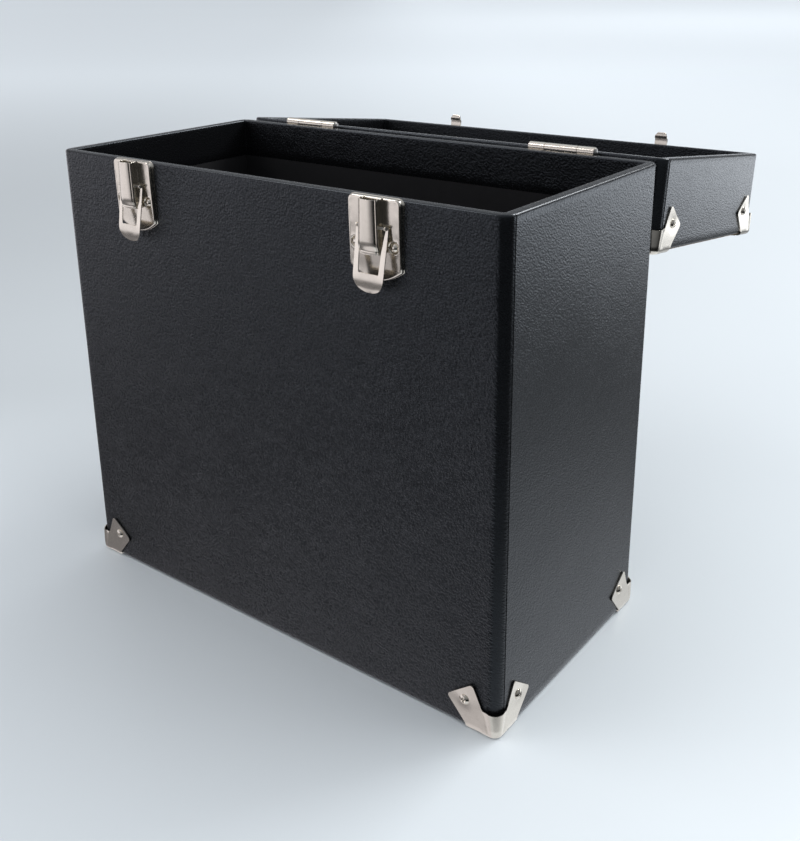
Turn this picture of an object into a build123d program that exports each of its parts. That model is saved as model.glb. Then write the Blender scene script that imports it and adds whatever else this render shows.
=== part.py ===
from build123d import *
import math
import os

os.makedirs("parts", exist_ok=True)

# Record carrying case: a board box covered in leatherette, with a hinged lid,
# two spring latches, sheet-metal corner protectors and a carrying handle.
# Millimetres. Origin: centre of the footprint, on the plane the case stands on.
# +X to the right when facing the latches, +Y to the back (hinge side), +Z up.
# The case is stored with its lid swung fully open behind the body.

# ---- driving dimensions -------------------------------------------------
W = 360.0            # outside width of body and lid
D = 178.0            # outside depth, front to back
H = 312.0            # height of the body's rim above the floor
LID_H = 60.3         # outside height of the lid
RIM_GAP = 0.3        # gap between the two rims when closed
R_EDGE = 7.5         # outside radius of the four vertical edges
R_BASE = 1.5         # radius of the edges round the bottom and round the lid top
R_RIM = 1.0          # radius of the rim's edges

COVER = 0.7          # leatherette with its glue
BOARD = 5.2          # wall board
LINING = 0.6         # inner lining
TURN_IN = 28.0       # leatherette turned in over the rim
BASE_SHEET = 1.2     # lining sheet on the floor of the compartment

SHEET = 1.0          # corner protector sheet
HINGE_OFF = 4.5      # hinge axis behind the back face
HINGE_Z = 312.7      # hinge axis height
OPEN_DEG = 187.2     # lid travel, from closed to resting on the back wall

LATCH_X = 99.8       # half the distance between the two latches
LATCH_SHIFT = -1.7   # the pair sits this far off the middle
LATCH_TOP = 312.2    # top of the latch base plate
LATCH_W = 35.6
LATCH_SIDE_Z = 273.0
LATCH_BOTTOM_Z = 266.0
LATCH_FACE = 3.2     # front of the base plate, off the case
PIVOT_Z = 296.7      # lever pivot
PIVOT_OFF = 5.3
LEVER_TILT = 5.5     # the lever's rest angle, off the case's face
LEVER_L = 36.7
LEVER_W = 21.0

HINGE_X = 110.0      # hinge centres
HINGE_LEN = 48.0
LEAF = 1.2
BARREL_R = 3.4
HINGE_PIN_R = 2.0

HANDLE_X = 61.0      # handle bracket centres
HANDLE_PIVOT_H = 4.4 # bail axis above the lid
HANDLE_RISE = 27.6   # bail axis to grip centre
BAIL_R = 2.0
GRIP_L = 86.0

FOOT = SHEET                     # the covering's underside stands this high
TOP = H + RIM_GAP + LID_H        # top of the closed lid
INNER = COVER + BOARD            # outside face to the board's inside face
EPS = 0.05                       # clearance of a shank in its pilot hole


# ---- helpers ------------------------------------------------------------
def bx(x0, x1, y0, y1, z0, z1):
    return Pos((x0 + x1) / 2, (y0 + y1) / 2, (z0 + z1) / 2) * Box(
        abs(x1 - x0), abs(y1 - y0), abs(z1 - z0))


def rprism(w, d, r, z0, z1):
    return Pos(0, 0, z0) * extrude(RectangleRounded(w, d, r), z1 - z0)


def rod(p, direction, r, length):
    """A cylinder from point p along direction."""
    pl = Plane(origin=p, z_dir=direction)
    return pl * Cylinder(r, length, align=(Align.CENTER, Align.CENTER, Align.MIN))


def dome(p, direction, r, h, flat=0.25):
    """A domed head that sits at p and rises along direction."""
    pl = Plane(origin=p, z_dir=direction)
    rise = h - flat
    ball = (r * r + rise * rise) / (2 * rise)
    head = Cylinder(r, h, align=(Align.CENTER, Align.CENTER, Align.MIN)) & (
        Pos(0, 0, h - ball) * Sphere(ball))
    return pl * head


def solids(shape):
    return list(shape.solids())


def save(name, *shapes):
    out = []
    for s in shapes:
        out += solids(s)
    comp = out[0] if len(out) == 1 else Compound(children=out)
    comp.label = name
    export_step(comp, f"parts/{name}.step")
    vol = sum(s.volume for s in out)
    print(f"{name:34s} solids {len(out):2d} volume {vol:10.1f}")


HINGE_AXIS = Axis((0, D / 2 + HINGE_OFF, HINGE_Z), (1, 0, 0))


def opened(shape):
    """Turn a lid piece from the closed position to the open one."""
    return shape.rotate(HINGE_AXIS, -OPEN_DEG)


def face_pt(side, a, z, off=0.0):
    """A point on an upright outside face. a runs along the face, off outwards."""
    return {"front": (a, -D / 2 - off, z), "back": (a, D / 2 + off, z),
            "left": (-W / 2 - off, a, z), "right": (W / 2 + off, a, z)}[side]


INWARD = {"front": (0, 1, 0), "back": (0, -1, 0), "left": (1, 0, 0), "right": (-1, 0, 0)}
OUTWARD = {k: tuple(-c for c in v) for k, v in INWARD.items()}


# ---- fasteners ----------------------------------------------------------
PROT_U, PROT_V = 22.0, 19.0      # protector screw, from the vertical edge and from the end
UNDER_U = 20.0                   # protector screw on the underside, from both edges


def screw(p, out, head_r, head_h, shank_r, length):
    inn = tuple(-c for c in out)
    tip = tuple(p[i] + inn[i] * (length - 1.6) for i in range(3))
    body = rod(p, inn, shank_r, length - 1.6)
    point = Plane(origin=tip, z_dir=inn) * Cone(
        shank_r, 0.25, 1.6, align=(Align.CENTER, Align.CENTER, Align.MIN))
    return dome(p, out, head_r, head_h) + body + point


def flush_screw(p, out, head_r, shank_r, length):
    """Countersunk: the head's flat face lies at p."""
    inn = tuple(-c for c in out)
    head = Plane(origin=p, z_dir=inn) * Cone(
        head_r, shank_r, 1.4, align=(Align.CENTER, Align.CENTER, Align.MIN))
    at = tuple(p[i] + inn[i] * 1.4 for i in range(3))
    tip = tuple(p[i] + inn[i] * (length - 1.6) for i in range(3))
    body = rod(at, inn, shank_r, length - 3.0)
    point = Plane(origin=tip, z_dir=inn) * Cone(
        shank_r, 0.25, 1.6, align=(Align.CENTER, Align.CENTER, Align.MIN))
    return head + body + point


def pilot(p, out, r, depth, start=2.0):
    """The cutter for a shank: from outside p to depth inside it."""
    a = tuple(p[i] + out[i] * start for i in range(3))
    inn = tuple(-c for c in out)
    return rod(a, inn, r, depth + start)


def corner_screw_sites(z):
    """Points on the case's faces for the protector screws on the upright faces."""
    s = []
    for sx in (-1, 1):
        for side in ("front", "back"):
            s.append((side, face_pt(side, sx * (W / 2 - PROT_U), z)))
    for sy in (-1, 1):
        for side in ("left", "right"):
            s.append((side, face_pt(side, sy * (D / 2 - PROT_U), z)))
    return s


# ---- corner protectors --------------------------------------------------
def leg_outline():
    """One leg on an upright face: u from the vertical edge, v from the end face."""
    pts = [(-3, -2), (-3, 15.9), (0, 15.9), (4.5, 16.3), (7.4, 16.9), (10.0, 17.8), (16.3, 31.6),
           (33.8, 18.0), (21.0, 3.0), (19.5, 0), (19.5, -2)]
    f = make_face(Polyline(*pts, close=True))
    ends = [v for v in f.vertices() if (v.X, v.Y) in ((16.3, 31.6), (33.8, 18.0))]
    return fillet(ends, 2.2)


def end_outline():
    """The leg on the bottom of the body, or on the top of the lid."""
    pts = [(-3, -3), (21.5, -3), (22, 2.5), (31.5, 17), (17, 31.5), (2.5, 22), (-3, 21.5)]
    f = make_face(Polyline(*pts, close=True))
    ends = [v for v in f.vertices() if (v.X, v.Y) in ((31.5, 17.0), (17.0, 31.5))]
    return fillet(ends, 2.2)


def protector():
    """The protector of the front right bottom corner, with z = 0 at its underside."""
    inner = rprism(W, D, R_EDGE, FOOT, 60)
    inner = fillet(inner.edges().group_by(Axis.Z)[0], R_BASE)
    outer = rprism(W + 2 * SHEET, D + 2 * SHEET, R_EDGE + SHEET, 0, 60)
    outer = fillet(outer.edges().group_by(Axis.Z)[0], R_BASE + SHEET)
    corner = bx(W / 2 - 40, W / 2 + 2, -D / 2 - 2, -D / 2 + 40, -1, 45)
    shell = (outer & corner) - inner
    leg, end = leg_outline(), end_outline()
    # on the front face: u runs to -X from the right edge
    front = Plane(origin=(W / 2, -D / 2 - 2, 0), x_dir=(-1, 0, 0), z_dir=(0, 1, 0)) * leg
    side = Plane(origin=(W / 2 + 2, -D / 2, 0), x_dir=(0, 1, 0), z_dir=(1, 0, 0)) * leg
    mask_f = extrude(front, 2 + R_EDGE + 1.0, dir=(0, 1, 0))
    mask_s = extrude(side, 2 + R_EDGE + 1.0, dir=(-1, 0, 0))
    under = Plane(origin=(W / 2, -D / 2, -1), x_dir=(-1, 0, 0), z_dir=(0, 0, -1)) * end
    mask_e = extrude(under, 3.0, dir=(0, 0, 1))
    return (shell & mask_f) + (shell & mask_s) + (shell & mask_e)


def check_leg_up(shape):
    b = shape.bounding_box()
    return b.min.Z, b.max.Z


PROT = protector()
_lo, _hi = check_leg_up(PROT)
assert _hi > 28 and abs(_lo) < 0.01, (_lo, _hi)

HOLE_R = 1.6
PROT = PROT - pilot((W / 2 - PROT_U, -D / 2, PROT_V), (0, -1, 0), HOLE_R, 1)
PROT = PROT - pilot((W / 2, -D / 2 + PROT_U, PROT_V), (1, 0, 0), HOLE_R, 1)
csk = Plane(origin=(W / 2 - UNDER_U, -D / 2 + UNDER_U, -0.001), z_dir=(0, 0, 1)) * Cone(
    2.75, 1.35, 1.45, align=(Align.CENTER, Align.CENTER, Align.MIN))
PROT_FOOT = PROT - csk
PROT_LID = PROT - pilot((W / 2 - UNDER_U, -D / 2 + UNDER_U, 0), (0, 0, -1), HOLE_R, 1)


def four(shape):
    """Copies for the four corners, by name."""
    r = shape
    l = mirror(r, Plane.YZ)
    return {"front_right": r, "front_left": l,
            "back_right": mirror(r, Plane.XZ), "back_left": mirror(l, Plane.XZ)}


# ---- the case body ------------------------------------------------------
body_cut = []         # shank holes through covering and boards
side_screws = []
for side, p in corner_screw_sites(PROT_V):
    out = OUTWARD[side]
    base = tuple(p[i] + out[i] * SHEET for i in range(3))
    side_screws.append(screw(base, out, 3.2, 1.7, 1.2, 6.1))
    body_cut.append(pilot(p, out, 1.2 + EPS, 5.6))
under_screws = []
for sx in (-1, 1):
    for sy in (-1, 1):
        p = (sx * (W / 2 - UNDER_U), sy * (D / 2 - UNDER_U), 0.06)
        under_screws.append(flush_screw(p, (0, 0, -1), 2.6, 1.2, 6.0))
        q = (p[0], p[1], FOOT)
        body_cut.append(pilot(q, (0, 0, -1), 1.2 + EPS, 5.5))
        body_cut.append(Plane(origin=(p[0], p[1], -0.001), z_dir=(0, 0, 1)) * Cone(
            2.75, 1.35, 1.45, align=(Align.CENTER, Align.CENTER, Align.MIN)))

# latch rivets: dome in a dimple of the base plate, clinched inside the wall
RIVET_U, RIVET_Z, RIVET_R = 13.0, 286.0, 1.5
DIMPLE_FLOOR = 0.9
WALL = COVER + BOARD + COVER
latch_rivets = []
for s in (-1, 1):
    for k in (-1, 1):
        x = s * LATCH_X + LATCH_SHIFT + k * RIVET_U
        p = face_pt("front", x, RIVET_Z, DIMPLE_FLOOR)
        r = dome(p, (0, -1, 0), 2.6, 2.1) + rod(p, (0, 1, 0), RIVET_R, DIMPLE_FLOOR + WALL)
        r += rod(face_pt("front", x, RIVET_Z, -WALL), (0, 1, 0), 2.6, 0.7)
        latch_rivets.append(r)
        body_cut.append(pilot(face_pt("front", x, RIVET_Z), (0, -1, 0), RIVET_R + EPS, WALL + 1))

# hinge screws
HINGE_SCREWS = [(-17.0, 301.0), (17.0, 301.0), (0.0, 293.5)]
hinge_body_screws, hinge_lid_screws, lid_cut = [], [], []
for s in (-1, 1):
    for dx, z in HINGE_SCREWS:
        x = s * HINGE_X + dx
        hinge_body_screws.append(
            screw(face_pt("back", x, z, LEAF), (0, 1, 0), 2.4, 1.1, 1.3, 6.3))
        body_cut.append(pilot(face_pt("back", x, z), (0, 1, 0), 1.3 + EPS, 5.4))
        zl = 2 * HINGE_Z - z
        hinge_lid_screws.append(
            screw(face_pt("back", x, zl, LEAF), (0, 1, 0), 2.4, 1.1, 1.3, 6.3))
        lid_cut.append(pilot(face_pt("back", x, zl), (0, 1, 0), 1.3 + EPS, 5.4))


def boards(z_lo, z_hi, floor_lo):
    """Four wall boards and an end board, for a box that is closed at floor_lo."""
    core = rprism(W - 2 * COVER, D - 2 * COVER, R_EDGE - COVER, z_lo, z_hi)
    xo, yo, xi, yi = W / 2 - COVER, D / 2 - COVER, W / 2 - INNER, D / 2 - INNER
    out = {
        "front": bx(-xo, xo, -yo, -yi, z_lo, z_hi) & core,
        "back": bx(-xo, xo, yi, yo, z_lo, z_hi) & core,
        "left": bx(-xo, -xi, -yi, yi, z_lo, z_hi) & core,
        "right": bx(xi, xo, -yi, yi, z_lo, z_hi) & core,
        "end": bx(-xi, xi, -yi, yi, floor_lo, floor_lo + BOARD),
    }
    return out


def cover(z_end, z_rim, up):
    """Leatherette over the outside, round the rim and turned in. up: rim above the end."""
    z0, z1 = min(z_end, z_rim), max(z_end, z_rim)
    outer = rprism(W, D, R_EDGE, z0, z1)
    end_edges = outer.edges().group_by(Axis.Z)[0 if up else -1]
    outer = fillet(end_edges, R_BASE)
    rim_edges = outer.edges().group_by(Axis.Z)[-1 if up else 0]
    outer = fillet(rim_edges, R_RIM)
    if up:
        core = rprism(W - 2 * COVER, D - 2 * COVER, R_EDGE - COVER, z_end + COVER, z_rim - COVER)
        cav = bx(-W / 2 + INNER, W / 2 - INNER, -D / 2 + INNER, D / 2 - INNER,
                 z_rim - TURN_IN, z_rim - COVER)
        mouth = rprism(W - 2 * (INNER + COVER), D - 2 * (INNER + COVER), 0.8,
                       z_rim - TURN_IN - 1, z_rim + 1)
    else:
        core = rprism(W - 2 * COVER, D - 2 * COVER, R_EDGE - COVER, z_rim + COVER, z_end - COVER)
        cav = bx(-W / 2 + INNER, W / 2 - INNER, -D / 2 + INNER, D / 2 - INNER,
                 z_rim + COVER, z_rim + TURN_IN)
        mouth = rprism(W - 2 * (INNER + COVER), D - 2 * (INNER + COVER), 0.8,
                       z_rim - 1, z_rim + TURN_IN + 1)
    skin = (outer - core) + cav - mouth
    rim = [e for e in skin.edges()
           if abs(e.center().Z - z_rim) < 1e-4 and abs(e.bounding_box().size.Z) < 1e-6
           and abs(e.center().X) < W / 2 - 3 and abs(e.center().Y) < D / 2 - 3
           ]
    inner_rim = [e for e in skin.edges()
                 if abs(e.bounding_box().min.Z - z_rim) < 1e-4
                 and abs(e.bounding_box().max.Z - z_rim) < 1e-4
                 and max(abs(e.bounding_box().min.X), abs(e.bounding_box().max.X)) < W / 2 - 4
                 and max(abs(e.bounding_box().min.Y), abs(e.bounding_box().max.Y)) < D / 2 - 4]
    if inner_rim:
        skin = fillet(inner_rim, R_RIM * 0.6)
    return skin


def ring_lining(z0, z1):
    a = bx(-W / 2 + INNER, W / 2 - INNER, -D / 2 + INNER, D / 2 - INNER, z0, z1)
    b = bx(-W / 2 + INNER + LINING, W / 2 - INNER - LINING,
           -D / 2 + INNER + LINING, D / 2 - INNER - LINING, z0 - 1, z1 + 1)
    return a - b


b = boards(FOOT + COVER, H - COVER, FOOT + COVER)
for k, n in (("front", "body_front_panel"), ("back", "body_back_panel"),
             ("left", "body_left_panel"), ("right", "body_right_panel"),
             ("end", "body_bottom_panel")):
    save(n, b[k] - body_cut)
save("body_covering", cover(FOOT, H, True) - body_cut)
floor_z = FOOT + COVER + BOARD
save("body_lining", ring_lining(floor_z + BASE_SHEET, H - TURN_IN))
save("body_floor_lining", bx(-W / 2 + INNER, W / 2 - INNER, -D / 2 + INNER, D / 2 - INNER,
                             floor_z, floor_z + BASE_SHEET))
for n, s in four(PROT_FOOT).items():
    save(f"body_corner_{n}", s)
save("body_corner_screws", *side_screws)
save("body_underside_screws", *under_screws)


# ---- latches ------------------------------------------------------------
def plate_outline(shrink=0.0):
    h, t, s, m = LATCH_W / 2 - shrink, LATCH_TOP - shrink, LATCH_SIDE_Z, LATCH_BOTTOM_Z + shrink
    s2 = s + shrink
    f = make_face([
        Line((-h, s2), (-h, t)), Line((-h, t), (h, t)), Line((h, t), (h, s2)),
        ThreePointArc((h, s2), (0, m), (-h, s2))])
    top = [v for v in f.vertices() if v.Y > t - 0.01]
    f = fillet(top, 3.6 - shrink)
    low = [v for v in f.vertices() if abs(v.Y - s2) < 0.01]
    return fillet(low, 2.2 - shrink)


def out_of_face(face, o0, o1):
    """Extrude a face drawn in (u, z) from o0 to o1 off the case's front face."""
    pl = Plane(origin=(0, -D / 2 - o0, 0), x_dir=(1, 0, 0), z_dir=(0, -1, 0))
    return extrude(pl * face, o1 - o0, dir=(0, -1, 0))


def along_u(points, u0, u1):
    """Extrude a polygon drawn in (o, z) along u."""
    pl = Plane(origin=(u0, -D / 2, 0), x_dir=(0, -1, 0), z_dir=(-1, 0, 0))
    f = make_face(Polyline(*points, close=True))
    return extrude(pl * f, u1 - u0, dir=(1, 0, 0))


def latch_base():
    plate = out_of_face(plate_outline(), 0, LATCH_FACE)
    front = plate.faces().sort_by(Axis.Y)[0]
    plate = fillet(front.edges(), 1.2)
    plate = plate - out_of_face(plate_outline(0.8), -0.5, LATCH_FACE - 0.8)
    for k in (-1, 1):
        c = (k * RIVET_U, -D / 2 - 0.1, RIVET_Z)
        boss = rod(c, (0, -1, 0), 4.1, LATCH_FACE - 0.8 - 0.1 + 0.4)
        plate = plate + (boss & bx(-LATCH_W / 2 + 0.2, LATCH_W / 2 - 0.2, -D / 2 - 9, -D / 2, 200, 320))
        pl = Plane(origin=(k * RIVET_U, -D / 2 - DIMPLE_FLOOR, RIVET_Z), z_dir=(0, -1, 0))
        plate = plate - pl * Cone(2.95, 3.5, LATCH_FACE - DIMPLE_FLOOR + 0.01,
                                  align=(Align.CENTER, Align.CENTER, Align.MIN))
        plate = plate - rod((k * RIVET_U, -D / 2 + 1, RIVET_Z), (0, -1, 0), RIVET_R + 0.1, 4)
    # window behind the housing, for the catch
    return plate - bx(-3.7, 3.7, -D / 2 - 5, -D / 2 + 1, 294.9, 310.3)


def arc_profile(hw, o_edge, o_mid, o0=LATCH_FACE):
    return make_face([
        Line((-hw, o0), (-hw, o_edge)),
        ThreePointArc((-hw, o_edge), (0, o_mid), (hw, o_edge)),
        Line((hw, o_edge), (hw, o0)), Line((hw, o0), (-hw, o0))])


def latch_housing():
    z0, z1 = 282.3, 312.4
    pl0 = Plane(origin=(0, -D / 2, z0), x_dir=(1, 0, 0), z_dir=(0, 0, -1))
    outer = extrude(pl0 * arc_profile(6.75, 8.8, 10.3), z1 - z0, dir=(0, 0, 1))
    inner = extrude(Pos(0, 0, -1) * (pl0 * arc_profile(5.95, 8.3, 9.5, LATCH_FACE - 1)),
                    z1 - z0 + 2, dir=(0, 0, 1))
    shell = outer - inner
    shell = shell - rod((-20, -D / 2 - PIVOT_OFF, PIVOT_Z), (1, 0, 0), 0.87, 40)
    return shell


PIVOT = (0, -D / 2 - PIVOT_OFF, PIVOT_Z)


def latch_lever():
    """Drawn hanging straight down from the pivot, then tilted off the case."""
    hw, L = LEVER_W / 2, LEVER_L
    cy = -(L - hw)
    f = make_face([
        Line((-11.0, 0), (-hw, cy)),
        ThreePointArc((-hw, cy), (0, -L), (hw, cy)),
        Line((hw, cy), (11.0, 0)), Line((11.0, 0), (9.5, 0)),
        Line((9.5, 0), (7.6, -11.8)), Line((7.6, -11.8), (7.0, -25.6)),
        Line((7.0, -25.6), (-7.0, -25.6)), Line((-7.0, -25.6), (-7.6, -11.8)),
        Line((-7.6, -11.8), (-9.5, 0)), Line((-9.5, 0), (-11.0, 0))])
    win = [v for v in f.vertices() if abs(v.Y + 25.6) < 0.01]
    f = fillet(win, 0.8)
    pl = Plane(origin=PIVOT, x_dir=(1, 0, 0), z_dir=(0, -1, 0))
    sheet = extrude(pl * Pos(0, 0, -0.5) * f, 1.0, dir=(0, -1, 0))
    for k in (-1, 1):
        eye = rod((k * 10.25 - 0.75, PIVOT[1], PIVOT[2]), (1, 0, 0), 1.5, 1.5)
        sheet = sheet + eye
    sheet = sheet - rod((-15, PIVOT[1], PIVOT[2]), (1, 0, 0), 0.83, 30)
    return sheet.rotate(Axis(PIVOT, (1, 0, 0)), -LEVER_TILT)


def latch_pin():
    return rod((-11.2, PIVOT[1], PIVOT[2]), (1, 0, 0), 0.8, 22.4)


def latch_catch():
    """Hub on the pin, arm up inside the housing, nose over the keeper's folded hem."""
    hub = rod((-2.4, PIVOT[1], PIVOT[2]), (1, 0, 0), 1.6, 4.8)
    neck = along_u([(4.4, PIVOT_Z + 0.6), (5.1, PIVOT_Z + 0.6), (5.1, 302), (4.4, 302)], -2.4, 2.4)
    arm = along_u([(4.4, 299.5), (5.1, 299.5), (5.1, 309.3), (4.4, 309.3)], -3.2, 3.2)
    nose = along_u([(5.0, 308.1), (6.2, 308.1), (6.2, 308.5), (5.0, 309.3)], -3.2, 3.2)
    c = hub + neck + arm + nose
    return c - rod((-5, PIVOT[1], PIVOT[2]), (1, 0, 0), 0.83, 10)


def latch_spring():
    """Torsion spring round the pin: one leg down on the plate, one up behind the catch."""
    r, wire, pitch, turns = 1.25, 0.3, 0.64, 4
    helix = Helix(pitch, pitch * turns, r)
    # the helix starts at +X of its own frame; lay its axis along the pin
    place = Plane(origin=(-5.35, PIVOT[1], PIVOT[2]), x_dir=(0, 1, 0), z_dir=(1, 0, 0))
    prof = Plane(origin=helix @ 0, z_dir=helix % 0) * Circle(wire)
    coil = place * sweep(prof, path=helix, is_frenet=True)
    y = PIVOT[1] + r
    down = rod((-5.35, y, PIVOT[2]), (0, 0, -1), wire, 8.5)
    ball0 = Pos(-5.35, y, PIVOT[2]) * Sphere(wire)
    x1 = -5.35 + pitch * turns
    up_ = rod((x1, y, PIVOT[2]), (0, 0, 1), wire, 6.2)
    ball1 = Pos(x1, y, PIVOT[2]) * Sphere(wire)
    return coil + ball0 + ball1 + down + up_


def ribbon(pts, t):
    """Outline of a strip of thickness t along a polyline."""
    def off(sign):
        out = []
        for i, p in enumerate(pts):
            ns = []
            for a, c in ((i - 1, i), (i, i + 1)):
                if 0 <= a and c < len(pts):
                    dx, dy = pts[c][0] - pts[a][0], pts[c][1] - pts[a][1]
                    m = math.hypot(dx, dy)
                    ns.append((-dy / m, dx / m))
            nx, ny = sum(n[0] for n in ns) / len(ns), sum(n[1] for n in ns) / len(ns)
            q = nx * ns[0][0] + ny * ns[0][1]
            out.append((p[0] + sign * nx / q * t / 2, p[1] + sign * ny / q * t / 2))
        return out
    return off(1) + off(-1)[::-1]


KEEPER_TOP = 334.0
KEEPER_RIVET_U, KEEPER_RIVET_Z = 6.6, 328.0
TONGUE_TIP = 303.2
HEM_Z = 307.9        # upper edge of the hem folded back on the tongue


def keeper():
    strip = along_u(ribbon([(0.5, KEEPER_TOP - 3), (0.5, 319.0), (6.9, 313.6), (6.9, TONGUE_TIP)], 1.0),
                    -5.2, 5.2)
    strip = strip + along_u([(5.4, TONGUE_TIP), (6.5, TONGUE_TIP), (6.5, HEM_Z), (5.4, HEM_Z)],
                            -5.2, 5.2)
    tip = [e for e in strip.edges()
           if abs(e.center().Z - TONGUE_TIP) < 0.01 and abs(abs(e.center().X) - 5.2) < 0.01]
    strip = chamfer(tip, 2.2)
    f = make_face(Polyline((-10, 319.0), (10, 319.0), (10, KEEPER_TOP), (-10, KEEPER_TOP), close=True))
    f = fillet([v for v in f.vertices() if v.Y > 330], 3.0)
    f = fillet([v for v in f.vertices() if v.Y < 320], 1.5)
    plate = out_of_face(f, 0, 1.0)
    k = strip + plate
    for s in (-1, 1):
        k = k - rod((s * KEEPER_RIVET_U, -D / 2 + 1, KEEPER_RIVET_Z), (0, -1, 0), RIVET_R + 0.1, 4)
    return k


base, housing, lever, pin, catch, spring, keep = (
    latch_base(), latch_housing(), latch_lever(), latch_pin(), latch_catch(),
    latch_spring(), keeper())
keeper_rivets = []
for s, name in ((-1, "left"), (1, "right")):
    at = Pos(s * LATCH_X + LATCH_SHIFT, 0, 0)
    save(f"{name}_latch_base", at * base)
    save(f"{name}_latch_housing", at * housing)
    save(f"{name}_latch_lever", at * lever)
    save(f"{name}_latch_pin", at * pin)
    save(f"{name}_latch_catch", at * catch)
    save(f"{name}_latch_spring", at * spring)
    save(f"{name}_keeper", opened(at * keep))
    for k in (-1, 1):
        x = s * LATCH_X + LATCH_SHIFT + k * KEEPER_RIVET_U
        p = face_pt("front", x, KEEPER_RIVET_Z, 1.0)
        r = dome(p, (0, -1, 0), 2.4, 1.6) + rod(p, (0, 1, 0), RIVET_R, 1.0 + WALL)
        r += rod(face_pt("front", x, KEEPER_RIVET_Z, -WALL), (0, 1, 0), 2.6, 0.7)
        keeper_rivets.append(r)
        lid_cut.append(pilot(face_pt("front", x, KEEPER_RIVET_Z), (0, -1, 0), RIVET_R + EPS, WALL + 1))
save("latch_rivets", *latch_rivets)


# ---- hinges -------------------------------------------------------------
def hinge_leaf(lid):
    """One leaf of a butt hinge, in the closed position. Three knuckles: the lid has the middle one."""
    yb, ya = D / 2, D / 2 + HINGE_OFF
    hl, m, gap = HINGE_LEN / 2, 12.0, 0.2
    spans = [(-m + gap, m - gap)] if lid else [(-hl, -m - gap), (m + gap, hl)]
    others = [(-hl - 1, -m + gap), (m - gap, hl + 1)] if lid else [(-m - gap, m + gap)]
    zt = HINGE_Z - 1.1
    plate = bx(-hl, hl, yb, yb + LEAF, HINGE_Z - 24.7, zt)
    low = [e for e in plate.edges()
           if abs(abs(e.center().X) - hl) < 0.01 and abs(e.center().Z - (HINGE_Z - 24.7)) < 0.01]
    plate = fillet(low, 3.0)
    for a, c in others:
        plate = plate - bx(a, c, yb - 1, yb + 3, HINGE_Z - 2.4, HINGE_Z + 2)
    leaf = plate
    for a, c in spans:
        leaf = leaf + rod((a, ya, HINGE_Z), (1, 0, 0), BARREL_R, c - a)
        leaf = leaf + bx(a, c, yb, yb + 2.6, HINGE_Z - 3.2, HINGE_Z - 0.9)
    leaf = leaf - rod((-hl - 2, ya, HINGE_Z), (1, 0, 0), HINGE_PIN_R + (0.06 if lid else 0.03), 2 * hl + 4)
    for dx, z in HINGE_SCREWS:
        leaf = leaf - rod((dx, yb - 1, z), (0, 1, 0), 1.5, 4)
    if lid:
        leaf = mirror(leaf, Plane(origin=(0, 0, HINGE_Z), z_dir=(0, 0, 1)))
    return leaf


def hinge_pin():
    hl, ya = HINGE_LEN / 2, D / 2 + HINGE_OFF
    p = rod((-hl - 0.1, ya, HINGE_Z), (1, 0, 0), HINGE_PIN_R, 2 * hl + 0.2)
    p = p + dome((-hl - 0.1, ya, HINGE_Z), (-1, 0, 0), 2.9, 1.1)
    return p + dome((hl + 0.1, ya, HINGE_Z), (1, 0, 0), 2.9, 1.1)


leaf_b, leaf_l, hpin = hinge_leaf(False), hinge_leaf(True), hinge_pin()
for s, name in ((-1, "left"), (1, "right")):
    at = Pos(s * HINGE_X, 0, 0)
    save(f"{name}_hinge_body_leaf", at * leaf_b)
    save(f"{name}_hinge_pin", at * hpin)
    save(f"{name}_hinge_lid_leaf", opened(at * leaf_l))
save("hinge_body_screws", *hinge_body_screws)
save("hinge_lid_screws", *[opened(s) for s in hinge_lid_screws])


# ---- the lid ------------------------------------------------------------
lid_screws = []
for side, p in corner_screw_sites(TOP - PROT_V + SHEET):
    out = OUTWARD[side]
    basep = tuple(p[i] + out[i] * SHEET for i in range(3))
    lid_screws.append(screw(basep, out, 3.2, 1.7, 1.2, 6.1))
    lid_cut.append(pilot(p, out, 1.2 + EPS, 5.6))
for sx in (-1, 1):
    for sy in (-1, 1):
        p = (sx * (W / 2 - UNDER_U), sy * (D / 2 - UNDER_U), TOP)
        lid_screws.append(screw((p[0], p[1], TOP + SHEET), (0, 0, 1), 3.2, 1.7, 1.2, 6.1))
        lid_cut.append(pilot(p, (0, 0, 1), 1.2 + EPS, 5.6))

# handle bracket screws
BRACKET_SCREW_Y = 11.5
bracket_screws = []
for s in (-1, 1):
    for k in (-1, 1):
        p = (s * HANDLE_X, k * BRACKET_SCREW_Y, TOP)
        bracket_screws.append(screw((p[0], p[1], TOP + 1.2), (0, 0, 1), 2.8, 1.3, 1.3, 6.2))
        lid_cut.append(pilot(p, (0, 0, 1), 1.3 + EPS, 5.4))

rim = H + RIM_GAP
b = boards(rim + COVER, TOP - COVER, TOP - COVER - BOARD)
for k, n in (("front", "lid_front_panel"), ("back", "lid_back_panel"),
             ("left", "lid_left_panel"), ("right", "lid_right_panel"),
             ("end", "lid_top_panel")):
    save(n, opened(b[k] - lid_cut))
save("lid_covering", opened(cover(TOP, rim, False) - lid_cut))
ceil_z = TOP - COVER - BOARD
save("lid_lining", opened(ring_lining(rim + TURN_IN, ceil_z - BASE_SHEET)))
save("lid_top_lining", opened(bx(-W / 2 + INNER, W / 2 - INNER, -D / 2 + INNER, D / 2 - INNER,
                                 ceil_z - BASE_SHEET, ceil_z)))
flip = mirror(PROT_LID, Plane.XY)
for n, s in four(Pos(0, 0, TOP + SHEET) * flip).items():
    save(f"lid_corner_{n}", opened(s))
save("lid_corner_screws", *[opened(s) for s in lid_screws])
save("keeper_rivets", *[opened(s) for s in keeper_rivets])


# ---- the handle ---------------------------------------------------------
PZ = TOP + HANDLE_PIVOT_H
HANDLE_AXIS = Axis((0, 0, PZ), (1, 0, 0))
LEAN = OPEN_DEG - 180.0      # hanging straight down under the open lid


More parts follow.
